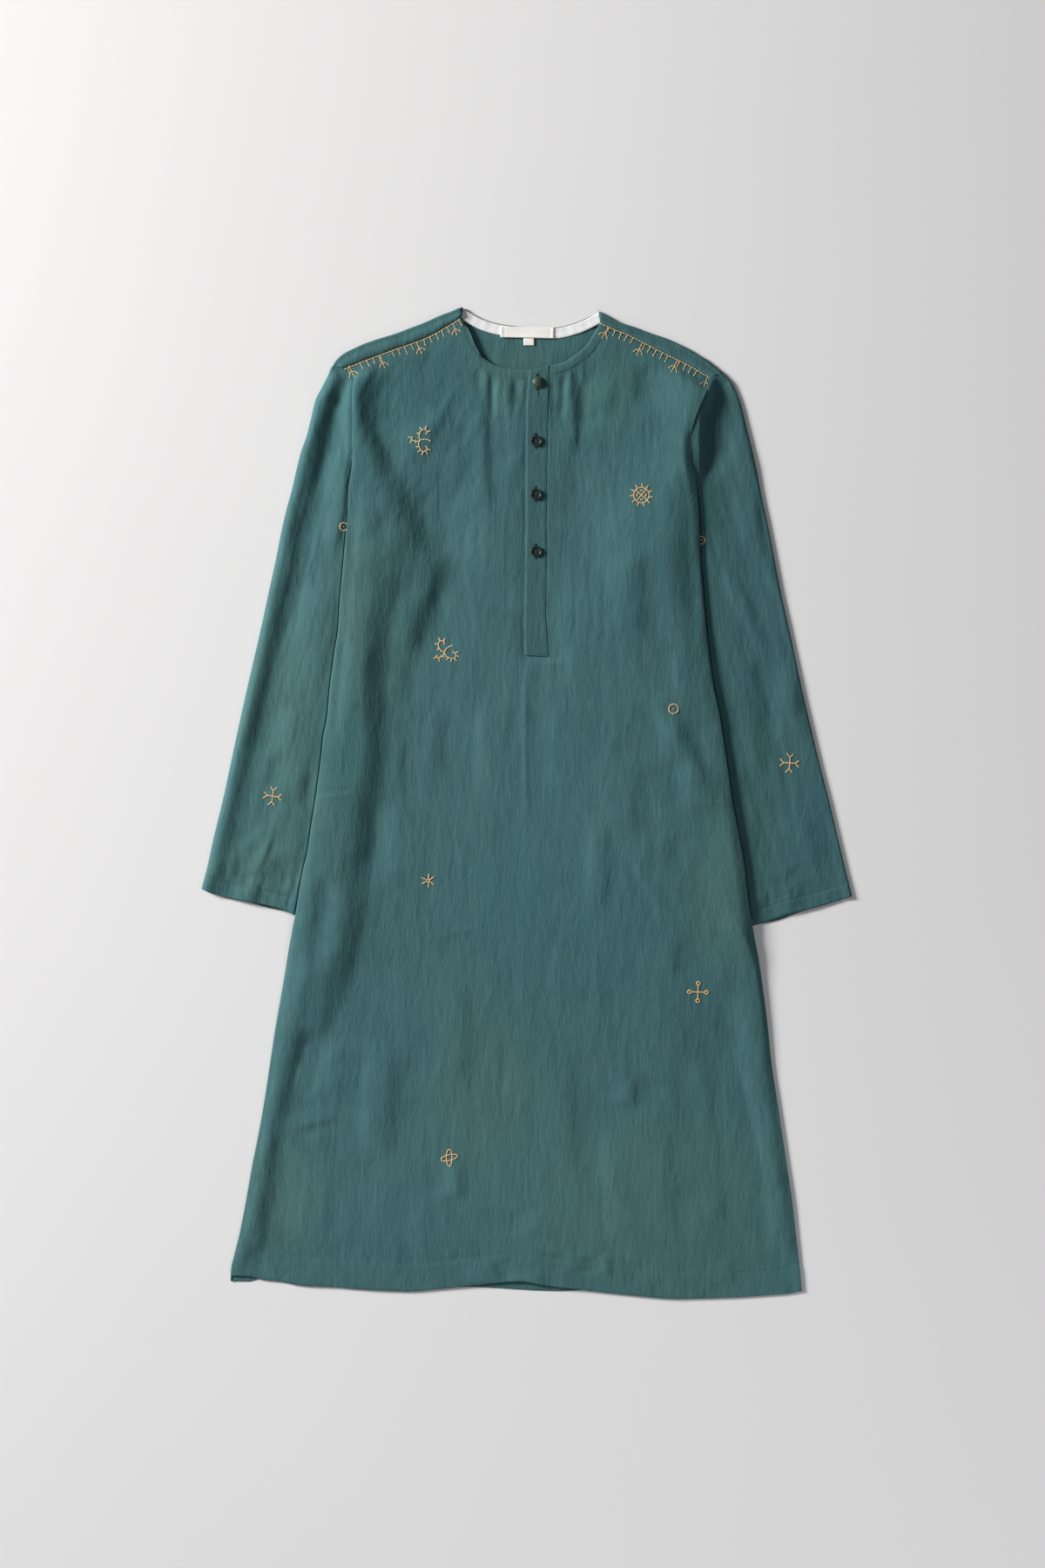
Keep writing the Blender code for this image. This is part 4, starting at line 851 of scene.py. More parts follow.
def build_sleeve(name, side, mat):
    table = SLEEVE_LEFT if side == "left" else SLEEVE_RIGHT
    outer_table = OUTER_LEFT if side == "left" else OUTER_RIGHT
    body = body_left if side == "left" else body_right
    cuff = CUFF_LEFT if side == "left" else CUFF_RIGHT
    creases = LEFT_SLEEVE_CREASES if side == "left" else RIGHT_SLEEVE_CREASES
    puckers = CUFF_LEFT_PUCKERS if side == "left" else CUFF_RIGHT_PUCKERS
    out = -1.0 if side == "left" else 1.0
    top_v = 423.0 if side == "left" else 433.0
    hole = Line([(float(across(outer_table, table[0][0])), table[0][0])]
                + [p for p in (BODY_LEFT if side == "left" else BODY_RIGHT) if top_v <= p[1] < table[0][1] - 1]
                + [(float(body(table[0][1])), table[0][1])])
    keys = np.arange(len(table), dtype=float)
    t = np.concatenate([np.linspace(0.0, 0.35, 13)[:-1], np.linspace(0.35, 7.95, 196), [7.965, 7.985, 8.0]])
    ov = pchip(keys, [r[0] for r in table], t)
    ou = across(outer_table, ov)
    ev = pchip(keys, [r[1] for r in table], t)
    eu = body(ev) + out * (0.7 if side == "left" else 1.3)
    iu = pchip(keys, [r[2] for r in table], t)
    iv = pchip(keys, [r[3] for r in table], t)
    width = np.hypot(eu - ou, ev - ov)
    width[0] = max(width[0], 1.0)

    near_out = np.array([0.0, 1.0, 2.2, 3.6, 5.4, 7.8])
    near_in = np.array([10.0, 7.0, 4.6, 2.8, 1.4, 0.0])
    k = 46

    def section(s_abs_out, s_share, s_abs_in):
        """Shares across a section: distances from the outer fold, shares of the
        rest, distances from the body's edge."""
        w = width[:, None]
        fold = 2.0 / UNIT
        a = (fold + s_abs_out[None, :]) / w
        c = 1.0 - s_abs_in[None, :] / w
        b = a[:, -1:] + (c[:, :1] - a[:, -1:]) * s_share[None, :]
        return np.concatenate([a, b, c], axis=1)

    visible = section(near_out, np.arange(1, k) / k, near_in)
    hidden = np.concatenate([[1.0 + 1e-4], np.linspace(1.0, 2.0, 9)[1:]])
    top = np.concatenate([visible, np.repeat(hidden[None, :], len(t), 0)], axis=1)

    def plan_at(s, tuck):
        tt = t[:, None]
        hu, hv = hole.at(np.clip(s[0], 0, 1))
        straight_u = mix(ou[:, None], eu[:, None], s)
        straight_v = mix(ov[:, None], ev[:, None], s)
        du = hu - mix(ou[0], eu[0], np.clip(s[0], 0, 1))
        dv = hv - mix(ov[0], ev[0], np.clip(s[0], 0, 1))
        head = ease(1.0 - tt / 2.0)
        u = straight_u + head * du[None, :]
        v = straight_v + head * dv[None, :]
        lip = ease((s - 0.04) / 0.1) * ease((0.97 - s) / 0.08) * ease(1.0 - tt / 0.3)
        u = u - out * lip * tuck
        u = np.where(s > 1.0, mix(eu[:, None], iu[:, None], s - 1.0), u)
        v = np.where(s > 1.0, mix(ev[:, None], iv[:, None], s - 1.0), v)
        # the last rows come down on the cuff's own line
        last = ease((tt - 6.9) / 1.1)
        ends = sorted((cuff.points[0][0], cuff.points[-1][0]))
        line_v = down(cuff.points, np.clip(u, *ends))
        u_end = mix(ou[-1], eu[-1], np.clip(s, 0, 1))
        straight_end = mix(ov[-1], ev[-1], np.clip(s, 0, 1))
        target = down(cuff.points, np.clip(u_end, *ends)) - straight_end
        v = v + last * np.where(s <= 1.0, target, target * np.clip(2.0 - s, 0, 1))
        return u, v

    u, v = plan_at(top, 1.4)
    d_out = (top * width[:, None])
    d_in = ((1.0 - top) * width[:, None])
    s = np.clip(top, 0.0, 1.0)
    fold_high = (mix(3.7, 4.7, ease(1.0 - t)) if side == "left" else mix(2.9, 4.2, ease(1.0 - t / 0.8)))[:, None]
    lies = ease((v - 528.0) / 34.0)
    w = width[:, None]
    beside = np.maximum(0.0, out * (u - body(v)))
    if side == "left":
        # a rounded rim, a trough inside it, then a long climb to the body's edge
        bed = 4.5 + 0.5 * ease((1000.0 - v) / 300.0)
        rim = 6.3
        high = column(EDGES, 1, v) - 2 * SHELL
        z = fold_high + (rim - fold_high) * roll(d_out - 2.0, 7.0)
        z = mix(z, bed, ease((d_out - 8.0) / 17.0))
        z = z + (high - bed) * ease((d_out - 24.0) / np.maximum(10.0, w - 34.0))
        # it climbs to the armhole seam, and dips softly beside the body's lower edge
        seam = column(EDGES, 1, v) - 0.9
        z = mix(mix(seam, z, ease(beside / 27.0)), z, lies)
        z = mix(high - 0.1, z, mix(1.0, ease(d_in / 7.0), lies)) - 0.25 * lies * np.exp(-((d_in - 5.5) / 4.0) ** 2)
    else:
        # sewn high at the armhole beside a low pocket; further down it falls slowly to its outer fold
        edge = column(EDGES, 2, v)
        strip, pocket = column(POCKET, 1, v), column(POCKET, 2, v)
        low, crest = 2.0, 3.9
        head = edge - 0.9 - (edge - 0.9 - low) * ease((beside - strip) / 10.0) + (crest - low) * ease((beside - pocket + 3.0) / 24.0)
        high = edge - column(STEP_RIGHT, 1, v)
        far = np.minimum(high, 3.1)
        slow = high + (far - high) * np.clip((d_in - 8.0) / np.maximum(20.0, w - 26.0), 0.0, 1.0)
        slow = slow - 0.4 * np.exp(-(d_in / 8.0) ** 2)
        z = mix(head, slow, lies)
        z = fold_high + (z - fold_high) * roll(d_out - 2.0, 9.0)
        z = np.where(top < 1.0, z, mix(edge - 0.9, high - 0.3, lies))
    # sewn to the body at the armhole
    head_t = ease(t / 0.42)[:, None]
    sewn = mix(4.3, column(EDGES, 1 if side == "left" else 2, v) - 0.9, ease(s / 0.25))
    sewn = np.where(top > 0.93, mix(sewn, 2.6, ease((top - 0.93) / 0.07)), sewn)
    z = mix(sewn, z, head_t)
    quiet = ease(d_in / 9.0) * mix(ease(beside / 9.0), 1.0, lies) * (0.25 + 0.75 * ease(d_out / 9.0)) * ease(t / 0.3)[:, None] * np.where(top < 1.0, 1.0, 0.0)
    z = z + quiet * (relief(u, v, creases + puckers) + 1.15 * sleeve_streaks(u, v, side))
    cuff_d = (t[-1] - t)[:, None] * 75.0
    z = z - 1.3 * ease((60.0 - cuff_d) / 60.0) * ease(np.minimum(d_out, d_in) / 16.0) * np.where(top < 1, 1, 0)
    z = z + (0.35 * ease((19.0 - cuff_d) / 3.0) - 0.35 * np.exp(-((cuff_d - 18.0) / 1.4) ** 2)
             - 0.55 * (1 - roll(cuff_d, 2.6))) * np.where(top < 1, 1, 0)
    cap = column(EDGES, 1 if side == "left" else 2, v) - 2 * SHELL - 0.05
    z = np.where((top <= 1.0) & (v > 548), np.minimum(z, cap + 0.35 * d_in), z)
    low_cap = np.where(top > 1.0, 2.75, 30.0)
    z = np.clip(z, 1.7, low_cap)
    z = np.where(top > 1.0, 2.6, z)
    z[:, -1] = 2.5
    SLEEVES[side] = (u[:, :visible.shape[1]], v[:, :visible.shape[1]], z[:, :visible.shape[1]])

    # underside, flat on the table, with soft folds turned up into the sleeve
    flat_s = np.concatenate([np.linspace(2.0, 1.0, 9), np.linspace(1.0, 0.0, 26)[1:]])
    flat = np.repeat(flat_s[None, :], len(t), 0)
    flat[:, -1] = (2.0 / UNIT) / width
    flat = np.where(flat_s[None, :] <= 1.0, np.maximum(flat, flat[:, -1:]), flat)
    fu, fv = plan_at(flat, -0.5)
    peek = 2.6 * ease((t - 7.2) / 0.8)[:, None] * np.exp(-((flat - 0.72) / 0.16) ** 2)
    fv = fv + peek
    fz = 0.35 * np.maximum(0.0, noise(fu / 22.0, fv / 90.0, 61 if side == "left" else 62))
    fz = fz * ease((1.0 - flat) / 0.15) * ease(flat / 0.2) * ease(t / 0.4)[:, None]
    # outer and inner folds
    ro = 0.5 * fold_high[:, 0]
    bu, bv = u[:, 0], v[:, 0]
    nu, nv = (ou - bu), (ov - bv)
    size = np.hypot(nu, nv)
    nu, nv = nu / size, nv / size
    ring = []
    for j in range(1, 6):
        turn = math.pi * j / 6
        reach = 2.0 / UNIT * math.sin(turn)
        ring.append((bu + nu * reach, bv + nv * reach, ro * (1 - math.cos(turn))))
    top_z0 = 2 * ro
    z[:, 0] = np.maximum(z[:, 0], top_z0)
    inner_ring = []
    au, av = u[:, -1], v[:, -1]
    su, sv = au - u[:, -2], av - v[:, -2]
    sz = np.hypot(su, sv)
    for j in (1, 2, 3):
        turn = math.pi * j / 4
        inner_ring.append((au + su / sz * 1.3 * math.sin(turn), av + sv / sz * 1.3 * math.sin(turn), np.full(au.shape, 1.25 * (1 + math.cos(turn)))))
    parts = []
    cols = fu.shape[1]
    for j in range(cols):
        parts.append((fu[:, j], fv[:, j], fz[:, j]))
    parts += [(a, b, c) for a, b, c in ring]
    for j in range(u.shape[1]):
        parts.append((u[:, j], v[:, j], z[:, j]))
    parts += [(a, b, c) for a, b, c in inner_ring]
    gu, gv, gz = (np.stack([p[n] for p in parts], axis=1) for n in range(3))
    rows, cols = gu.shape
    i, j = np.meshgrid(np.arange(rows - 1), np.arange(cols), indexing="ij")
    jn = (j + 1) % cols
    quads = np.stack([i * cols + j, i * cols + jn, (i + 1) * cols + jn, (i + 1) * cols + j], axis=-1).reshape(-1, 4)
    obj = add_mesh(name, metres(gu, gv, gz), quads, mat)
    import bmesh
    bm = bmesh.new()
    bm.from_mesh(obj.data)
    bmesh.ops.recalc_face_normals(bm, faces=bm.faces)
    top_face = max(bm.faces, key=lambda f: f.calc_center_median().z)
    if top_face.normal.z < 0:
        bmesh.ops.reverse_faces(bm, faces=bm.faces)
    bm.to_mesh(obj.data)
    bm.free()
    shell = thicken(obj, 0.5)
    for vertex in shell.data.vertices:      # nothing goes below the surface it rests on
        if vertex.co.z < -0.00001:
            vertex.co.z = 0.00005
    return shell


def sleeve_height(side, u, v):
    """Height of a sleeve's upper side, from its nearest grid points."""
    gu, gv, gz = (a.ravel() for a in SLEEVES[side])
    u, v = np.atleast_1d(u), np.atleast_1d(v)
    out = np.zeros(u.shape)
    for n in range(len(u)):
        d = (gu - u[n]) ** 2 + (gv - v[n]) ** 2
        k = np.argpartition(d, 4)[:4]
        w = 1.0 / (d[k] + 0.05)
        out[n] = (w * gz[k]).sum() / w.sum()
    return out


# ------------------------------------------------------------------ materials
class Nodes:
    """Short way to wire a procedural material."""

    def __init__(self, name):
        self.mat = bpy.data.materials.new(name)
        self.mat.use_nodes = True
        self.tree = self.mat.node_tree
        self.shader = self.tree.nodes["Principled BSDF"]
        self.place = self.add("ShaderNodeTexCoord").outputs["Object"]

    def add(self, kind, **settings):
        node = self.tree.nodes.new(kind)
        for key, value in settings.items():
            if key.startswith("in_"):
                node.inputs[key[3:].replace("_", " ").title() if not key[3:].isdigit() else int(key[3:])].default_value = value
            else:
                setattr(node, key, value)
        return node

    def link(self, a, b):
        self.tree.links.new(a, b)

    def maths(self, op, a, b=None, clamp=False):
        node = self.add("ShaderNodeMath", operation=op, use_clamp=clamp)
        for n, x in enumerate((a, b)):
            if x is None:
                continue
            if isinstance(x, (int, float)):
                node.inputs[n].default_value = x
            else:
                self.link(x, node.inputs[n])
        return node.outputs[0]

    def moved(self, scale=(1, 1, 1), turn=0.0, shift=(0, 0, 0)):
        node = self.add("ShaderNodeMapping")
        node.inputs["Scale"].default_value = scale
        node.inputs["Rotation"].default_value = (0, 0, turn)
        node.inputs["Location"].default_value = shift
        self.link(self.place, node.inputs["Vector"])
        return node.outputs[0]

    def noise(self, vector, scale, detail=2.0, rough=0.5, warp=0.0):
        node = self.add("ShaderNodeTexNoise")
        node.inputs["Scale"].default_value = scale
        node.inputs["Detail"].default_value = detail
        node.inputs["Roughness"].default_value = rough
        node.inputs["Distortion"].default_value = warp
        self.link(vector, node.inputs["Vector"])
        return node.outputs["Fac"]

    def patch(self, u, v, ru, rv, turn=0.0):
        """Soft round patch of 0 to 1 about a plan point."""
        x, y = (u - CENTRE[0]) * UNIT * 0.001, (CENTRE[1] - v) * UNIT * 0.001
        node = self.add("ShaderNodeMapping", vector_type="TEXTURE")
        node.inputs["Location"].default_value = (x, y, 0.004)
        node.inputs["Rotation"].default_value = (0, 0, turn)
        node.inputs["Scale"].default_value = (ru * UNIT * 0.001, rv * UNIT * 0.001, 0.5)
        self.link(self.place, node.inputs["Vector"])
        ball = self.add("ShaderNodeTexGradient", gradient_type="SPHERICAL")
        self.link(node.outputs[0], ball.inputs["Vector"])
        out = self.add("ShaderNodeMapRange", interpolation_type="SMOOTHSTEP")
        self.link(ball.outputs["Fac"], out.inputs["Value"])
        return out.outputs["Result"]

    def blend(self, a, b, fac):
        node = self.add("ShaderNodeMix", data_type="RGBA")
        for socket, value in (("A", a), ("B", b)):
            target = [s for s in node.inputs if s.name == socket and s.type == "RGBA"][0]
            if isinstance(value, tuple):
                target.default_value = (*value, 1.0)
            else:
                self.link(value, target)
        if isinstance(fac, (int, float)):
            node.inputs[0].default_value = fac
        else:
            self.link(fac, node.inputs[0])
        return [s for s in node.outputs if s.type == "RGBA"][0]

    def range(self, value, a, b, c=0.0, d=1.0):
        node = self.add("ShaderNodeMapRange")
        self.link(value, node.inputs["Value"])
        for key, x in (("From Min", a), ("From Max", b), ("To Min", c), ("To Max", d)):
            node.inputs[key].default_value = x
        return node.outputs["Result"]

    def bump(self, height, strength, distance, before=None):
        node = self.add("ShaderNodeBump")
        node.inputs["Strength"].default_value = strength
        node.inputs["Distance"].default_value = distance
        self.link(height, node.inputs["Height"])
        if before is not None:
            self.link(before, node.inputs["Normal"])
        return node.outputs["Normal"]


def finish_of(nodes, rough, sheen=0.0, sheen_tint=(1, 1, 1), specular=0.5):
    nodes.shader.inputs["Roughness"].default_value = rough
    nodes.shader.inputs["Metallic"].default_value = 0.0
    nodes.shader.inputs["Specular IOR Level"].default_value = specular
    if sheen:
        nodes.shader.inputs["Sheen Weight"].default_value = sheen
        nodes.shader.inputs["Sheen Roughness"].default_value = 0.45
        nodes.shader.inputs["Sheen Tint"].default_value = (*sheen_tint, 1.0)


# soft dye clouds: (u, v, half width, half height, turn), towards blue and towards green
BLUER = ((515, 500, 140, 140, 0.2), (706, 665, 95, 120, 0.0), (512, 812, 70, 75, 0.0), (660, 1055, 150, 110, 0.0),
         (425, 1185, 110, 105, 0.2), (445, 1400, 110, 55, 0.0), (905, 640, 90, 260, -0.24), (945, 925, 55, 110, -0.2),
         (620, 890, 75, 110, 0.0))
GREENER = ((335, 820, 110, 240, 0.25), (760, 1390, 230, 150, 0.0), (420, 720, 60, 190, 0.1), (838, 1010, 60, 140, -0.1),
           (560, 1250, 90, 120, 0.0), (585, 430, 80, 50, 0.0), (700, 455, 60, 70, 0.0), (300, 1000, 75, 60, 0.0),
           (330, 1380, 70, 110, 0.1))


TEAL = ((475, 455, 130, 110, 0.0), (385, 520, 60, 170, -0.25), (700, 470, 120, 110, 0.0), (760, 620, 90, 130, 0.0), (400, 860, 60, 120, 0.0),
        (560, 1010, 130, 110, 0.0))
# painted light: paler soft patches where the cloth catches more light: (u, v, half width, half height, turn)
PAINTED_LIGHT_PATCHES = ((345, 760, 60, 190, -0.25), (530, 985, 120, 130, 0.0), (520, 830, 110, 85, 0.0), (480, 1140, 110, 95, 0.0), (400, 1370, 110, 90, 0.0), (560, 1330, 190, 150, 0.0), (700, 1360, 190, 140, 0.0), (720, 625, 60, 70, 0.0))
# painted shade: darker soft patches where shade falls, in the armhole pockets, beside the body's raised edges and in
# fold troughs: (u, v, half width, half height, turn)
PAINTED_SHADE_PATCHES = ((650, 625, 45, 120, 0.0), (500, 690, 90, 85, 0.0), (372, 600, 45, 90, -0.25), (838, 600, 40, 75, 0.0), (725, 470, 100, 80, 0.0), (380, 500, 40, 110, -0.25), (470, 430, 80, 60, 0.0), (700, 405, 80, 50, 0.3), (790, 690, 50, 90, 0.0))


def cloth_material(name, warm=0.0, painted_shade=0.0):
    n = Nodes(name)
    base = (0.0482, 0.1330, 0.1432)
    blue = (0.0405, 0.1290, 0.1630)
    green = (0.0620, 0.1400, 0.1230)
    wash = n.noise(n.moved(), 5.5, 3.0, 0.55, 0.6)
    mottled = n.noise(n.moved((1.0, 0.55, 1.0)), 42.0, 4.0, 0.62, 0.4)
    streak = n.noise(n.moved((1.0, 0.14, 1.0), 0.05), 210.0, 3.0, 0.6, 0.3)

    def total(patches):
        out = None
        for p in patches:
            one = n.patch(*p)
            out = one if out is None else n.maths("ADD", out, one)
        return out

    to_blue = n.maths("MULTIPLY", total(BLUER), n.range(wash, 0.3, 0.7, 0.35, 1.15), clamp=True)
    to_green = n.maths("MULTIPLY", total(GREENER), n.range(wash, 0.7, 0.3, 0.35, 1.15), clamp=True)
    colour = n.blend(base, blue, n.maths("MULTIPLY", to_blue, 0.55))
    colour = n.blend(colour, green, n.maths("MULTIPLY", to_green, 0.65))
    colour = n.blend(colour, (0.034, 0.130, 0.142), n.maths("MULTIPLY", total(TEAL), 0.40, clamp=True))
    colour = n.blend(colour, (0.062, 0.145, 0.146), n.range(mottled, 0.48, 0.74, 0.0, 0.46))
    colour = n.blend(colour, (0.034, 0.092, 0.098), n.range(mottled, 0.50, 0.28, 0.0, 0.46))
    colour = n.blend(colour, (0.066, 0.150, 0.148), n.range(streak, 0.54, 0.78, 0.0, 0.46))
    colour = n.blend(colour, (0.033, 0.090, 0.094), n.range(streak, 0.46, 0.24, 0.0, 0.46))
    # painted light: the cloth is lightened inside the light patches listed above
    colour = n.blend(colour, (0.078, 0.180, 0.184), n.maths("MULTIPLY", total(PAINTED_LIGHT_PATCHES), 0.19, clamp=True))
    # painted shade: the cloth is darkened inside the shade patches listed above
    colour = n.blend(colour, (0.024, 0.072, 0.080), n.maths("MULTIPLY", total(PAINTED_SHADE_PATCHES), 0.13, clamp=True))
    if warm:
        colour = n.blend(colour, (0.052, 0.106, 0.098), warm)
    # painted shade: the piece's whole cloth is darkened to stand for shade on it
    if painted_shade:
        colour = n.blend(colour, (0.020, 0.062, 0.070), painted_shade)
    n.link(colour, n.shader.inputs["Base Color"])
    # crepe: crinkle that runs along the grain, slubs, and the weave
    crinkle = n.noise(n.moved((1.0, 0.20, 1.0), 0.10), 330.0, 3.0, 0.62, 0.9)
    slant = n.noise(n.moved((1.0, 0.28, 1.0), -0.62), 250.0, 3.0, 0.6, 0.7)
    soft = n.noise(n.moved((1.0, 0.30, 1.0), 0.22), 95.0, 3.0, 0.55, 0.5)
    weave = n.noise(n.moved((1.0, 0.7, 1.0)), 1500.0, 2.0, 0.6)
    fine = n.maths("ADD", n.maths("MULTIPLY", crinkle, 0.55), n.maths("MULTIPLY", slant, 0.45))
    normal = n.bump(soft, 0.58, 0.0015)
    normal = n.bump(fine, 0.75, 0.0008, normal)
    normal = n.bump(weave, 0.45, 0.00022, normal)
    n.link(normal, n.shader.inputs["Normal"])
    finish_of(n, 0.80, 0.05, (0.55, 0.85, 0.88), 0.22)
    return n.mat


def plain_cloth(name, colour, deep, scale, rough=0.85, strength=0.5):
    """Small trims: a weave of two close tones."""
    n = Nodes(name)
    tone = n.noise(n.moved((1.0, 1.0, 1.0)), 120.0, 3.0, 0.6)
    thread = n.noise(n.moved((1.0, 0.25, 1.0)), scale, 2.0, 0.5)
    mixed = n.blend(colour, deep, n.range(n.maths("ADD", n.maths("MULTIPLY", tone, 0.5), n.maths("MULTIPLY", thread, 0.5)), 0.38, 0.66))
    n.link(mixed, n.shader.inputs["Base Color"])
    n.link(n.bump(thread, strength, 0.0002), n.shader.inputs["Normal"])
    finish_of(n, rough, 0.05, (1, 1, 1), 0.25)
    return n.mat


def button_material(name, colour, deep, rough):
    n = Nodes(name)
    grain = n.noise(n.moved((1.0, 0.35, 1.0), 0.6), 420.0, 4.0, 0.6, 1.2)
    n.link(n.blend(colour, deep, n.range(grain, 0.35, 0.7)), n.shader.inputs["Base Color"])
    n.link(n.bump(grain, 0.25, 0.0002), n.shader.inputs["Normal"])
    finish_of(n, rough, 0.0, (1, 1, 1), 0.5)
    return n.mat


def floor_material():
    n = Nodes("floor_paper")
    tone = n.noise(n.moved(), 3.0, 2.0, 0.5)
    n.link(n.blend((0.800, 0.797, 0.803), (0.785, 0.782, 0.790), tone), n.shader.inputs["Base Color"])
    grain = n.noise(n.moved(), 900.0, 2.0, 0.5)
    n.link(n.bump(grain, 0.06, 0.0003), n.shader.inputs["Normal"])
    finish_of(n, 0.9, 0.0, (1, 1, 1), 0.2)
    return n.mat


# ------------------------------------------------------------------ placket, tape, labels
def patch(name, u, v, z, wall, mat):
    """Open grid turned into a shell; z is its upper side."""
    rows, cols = z.shape
    obj = add_mesh(name, metres(u, v, z), grid_faces(rows, cols), mat)
    import bmesh
    bm = bmesh.new()
    bm.from_mesh(obj.data)
    if sum(f.normal.z for f in bm.faces) < 0:
        bmesh.ops.reverse_faces(bm, faces=bm.faces)
    bm.to_mesh(obj.data)
    bm.free()
    return thicken(obj, wall)


def band_rows(first, last, step, near):
    inner = np.linspace(near[-1], (last - first) - near[-1], int((last - first) / step))
    return first + np.concatenate([near[:-1], inner, (last - first) - np.asarray(near[:-1])[::-1]])


BUTTON_PLACES = ((617.7, 439.0), (615.9, 506.2), (615.6, 567.5), (615.9, 633.2))
BUTTON_RADII = (6.5, 6.25, 6.35, 6.25)


def band_surface(u, v):
    """Upper side of the placket's buttonhole band."""
    edge = across(PLACKET_RIGHT, v) - 2.0
    base = np.max([front_z(np.minimum(u + a, edge), v + b) for a, b in ((0, 0), (2.5, 0), (-2.5, 0), (0, 3.0), (0, -3.0))], axis=0)
    z = base + 1.05 - 0.22 * ease((u - edge + 16.0) / 16.0)
    for (bu, bv) in BUTTON_PLACES:
        far = np.hypot((u - bu) / 9.0, (v - bv) / 13.0)
        z = z - 0.22 * np.exp(-far ** 2)
    z += 0.10 * noise(u / 9.0, v / 21.0, 71) + 0.10 * noise(u / 30.0, v / 46.0, 72)
    for k, bv in enumerate((472, 536, 600, 690)):
        z += 0.16 * np.exp(-((v - bv - 0.35 * (u - 616)) / 5.0) ** 2) * math.cos(k * 2.1)
    return z


def build_placket(mat):
    rows = band_rows(0.0, 1.0, 0.0087, (0.0, 0.0016, 0.004, 0.008))
    cols = np.array([0.0, 0.025, 0.06, 0.11, 0.19, 0.3, 0.42, 0.55, 0.68, 0.79, 0.88, 0.94, 0.975, 1.0])
    f, q = np.meshgrid(cols, rows)
    v_guess = 424 + q * 330
    for _ in range(3):
        left, right = across(PLACKET_LEFT, v_guess), across(PLACKET_RIGHT, v_guess)
        u = left + f * (right - left)
        top = down(NECK.points, u) - 0.4
        end = 752.6 + 0.06 * (u - 604.0)
        v_guess = top + q * (end - top)
    v = v_guess
    z = band_surface(u, v)
    de = np.minimum(u - across(PLACKET_LEFT, v), 1.9 + across(PLACKET_RIGHT, v) - u)
    dt = np.minimum(v - top, end - v)
    z = z - 0.42 * (1 - roll(de, 2.2)) - 0.5 * (1 - roll(dt, 2.4))
    z = z + 0.12 * np.exp(-((de - 4.6) / 1.2) ** 2)
    band = patch("placket_buttonhole_band", u, v, z, 0.75, mat)

    # button band beneath, its stitched end a little wider
    rows = np.linspace(0.0, 1.0, 60)
    cols = np.linspace(0.0, 1.0, 7)
    f, q = np.meshgrid(cols, rows)
    v = 427.5 + q * 322.0
    left, right = across(PLACKET_LEFT, v) + 1.8, across(PLACKET_RIGHT, v) - 1.4
    u = left + f * (right - left)
    low = np.min([front_z(u + a, v + b) for a, b in ((0, 0), (3, 0), (-3, 0), (0, 4), (0, -4))], axis=0)
    z = low - SHELL - 0.5 + 0.08 * noise(u / 12.0, v / 30.0, 73)
    under = patch("placket_button_band", u, v, z, 0.6, mat)
    return band, under


def tape_point(share, reach):
    u, v = NECK_BACK.at(share)
    ua, va = NECK_BACK.at(share - 0.01)
    ub, vb = NECK_BACK.at(share + 0.01)
    size = np.hypot(ub - ua, vb - va)
    nu, nv = -(vb - va) / size, (ub - ua) / size
    return u + nu * reach, v + nv * reach


def tape_z(share, reach):
    wave = 0.10 * np.sin(share * 41.0) + 0.07 * np.sin(share * 97.0 + 1.0)
    wave = wave + 1.3 * (1.0 - ease(share / 0.22)) + 0.9 * (1.0 - ease((1.0 - share) / 0.30))
    return 1.45 + wave * ease((reach + 3.0) / 6.0) + 0.10 * np.exp(-((reach - 3.0) / 1.0) ** 2) - 0.30 * (1 - roll(np.minimum(reach - 1.0, 12.6 - reach), 1.0))


def build_tape(mat):
    shares = np.linspace(0.006, 0.994, 110)
    reach = np.array([1.0, 1.4, 2.1, 3.2, 4.8, 6.6, 8.6, 10.4, 11.6, 12.2, 12.6])
    r, s = np.meshgrid(reach, shares)
    u, v = tape_point(s, r)
    return patch("neck_binding_tape", u, v, tape_z(s, r), 0.5, mat)


def build_labels(mat, tab_mat):
    turn = math.radians(1.0)
    a = np.concatenate([[-30.6, -30.2, -29.5], np.linspace(-28.4, 28.4, 34), [29.5, 30.2, 30.6]])
    b = np.concatenate([[-6.2, -5.9, -5.3], np.linspace(-4.4, 4.4, 9), [5.3, 5.9, 6.2]])
    bb, aa = np.meshgrid(b, a)
    u = 605.4 + aa * math.cos(turn) - bb * math.sin(turn)
    v = 381.2 + aa * math.sin(turn) + bb * math.cos(turn)
    z = 2.27 + 0.14 * np.sin(aa / 9.0) * ease((bb + 6) / 8.0) + 0.30 * ease((bb - 1.0) / 5.0)
    fold = np.exp(-((np.abs(aa) - 26.8) / 0.7) ** 2)
    z += 0.22 * ease((np.abs(aa) - 26.5) / 1.0) - 0.25 * fold
    z -= 0.22 * (1 - roll(np.minimum(30.6 - np.abs(aa), 6.2 - np.abs(bb)), 0.9))
    label = patch("woven_label", u, v, z, 0.4, mat)

    a = np.concatenate([[-6.0, -5.6], np.linspace(-4.8, 4.8, 9), [5.6, 6.0]])
    b = np.concatenate([[0.0, 0.4], np.linspace(1.2, 8.6, 9), [9.6, 10.2, 10.5]])
    bb, aa = np.meshgrid(b, a)
    u = 607.2 + aa + 0.02 * bb
    v = 385.6 + bb
    z = 1.50 + 0.35 * ease(bb / 8.0) + 0.18 * np.sin(bb / 2.2) * 0.5
    z -= 0.25 * (1 - roll(np.minimum(6.0 - np.abs(aa), 10.5 - bb), 1.0))
    tab = patch("size_tab", u, v, z, 0.55, tab_mat)
    return label, tab


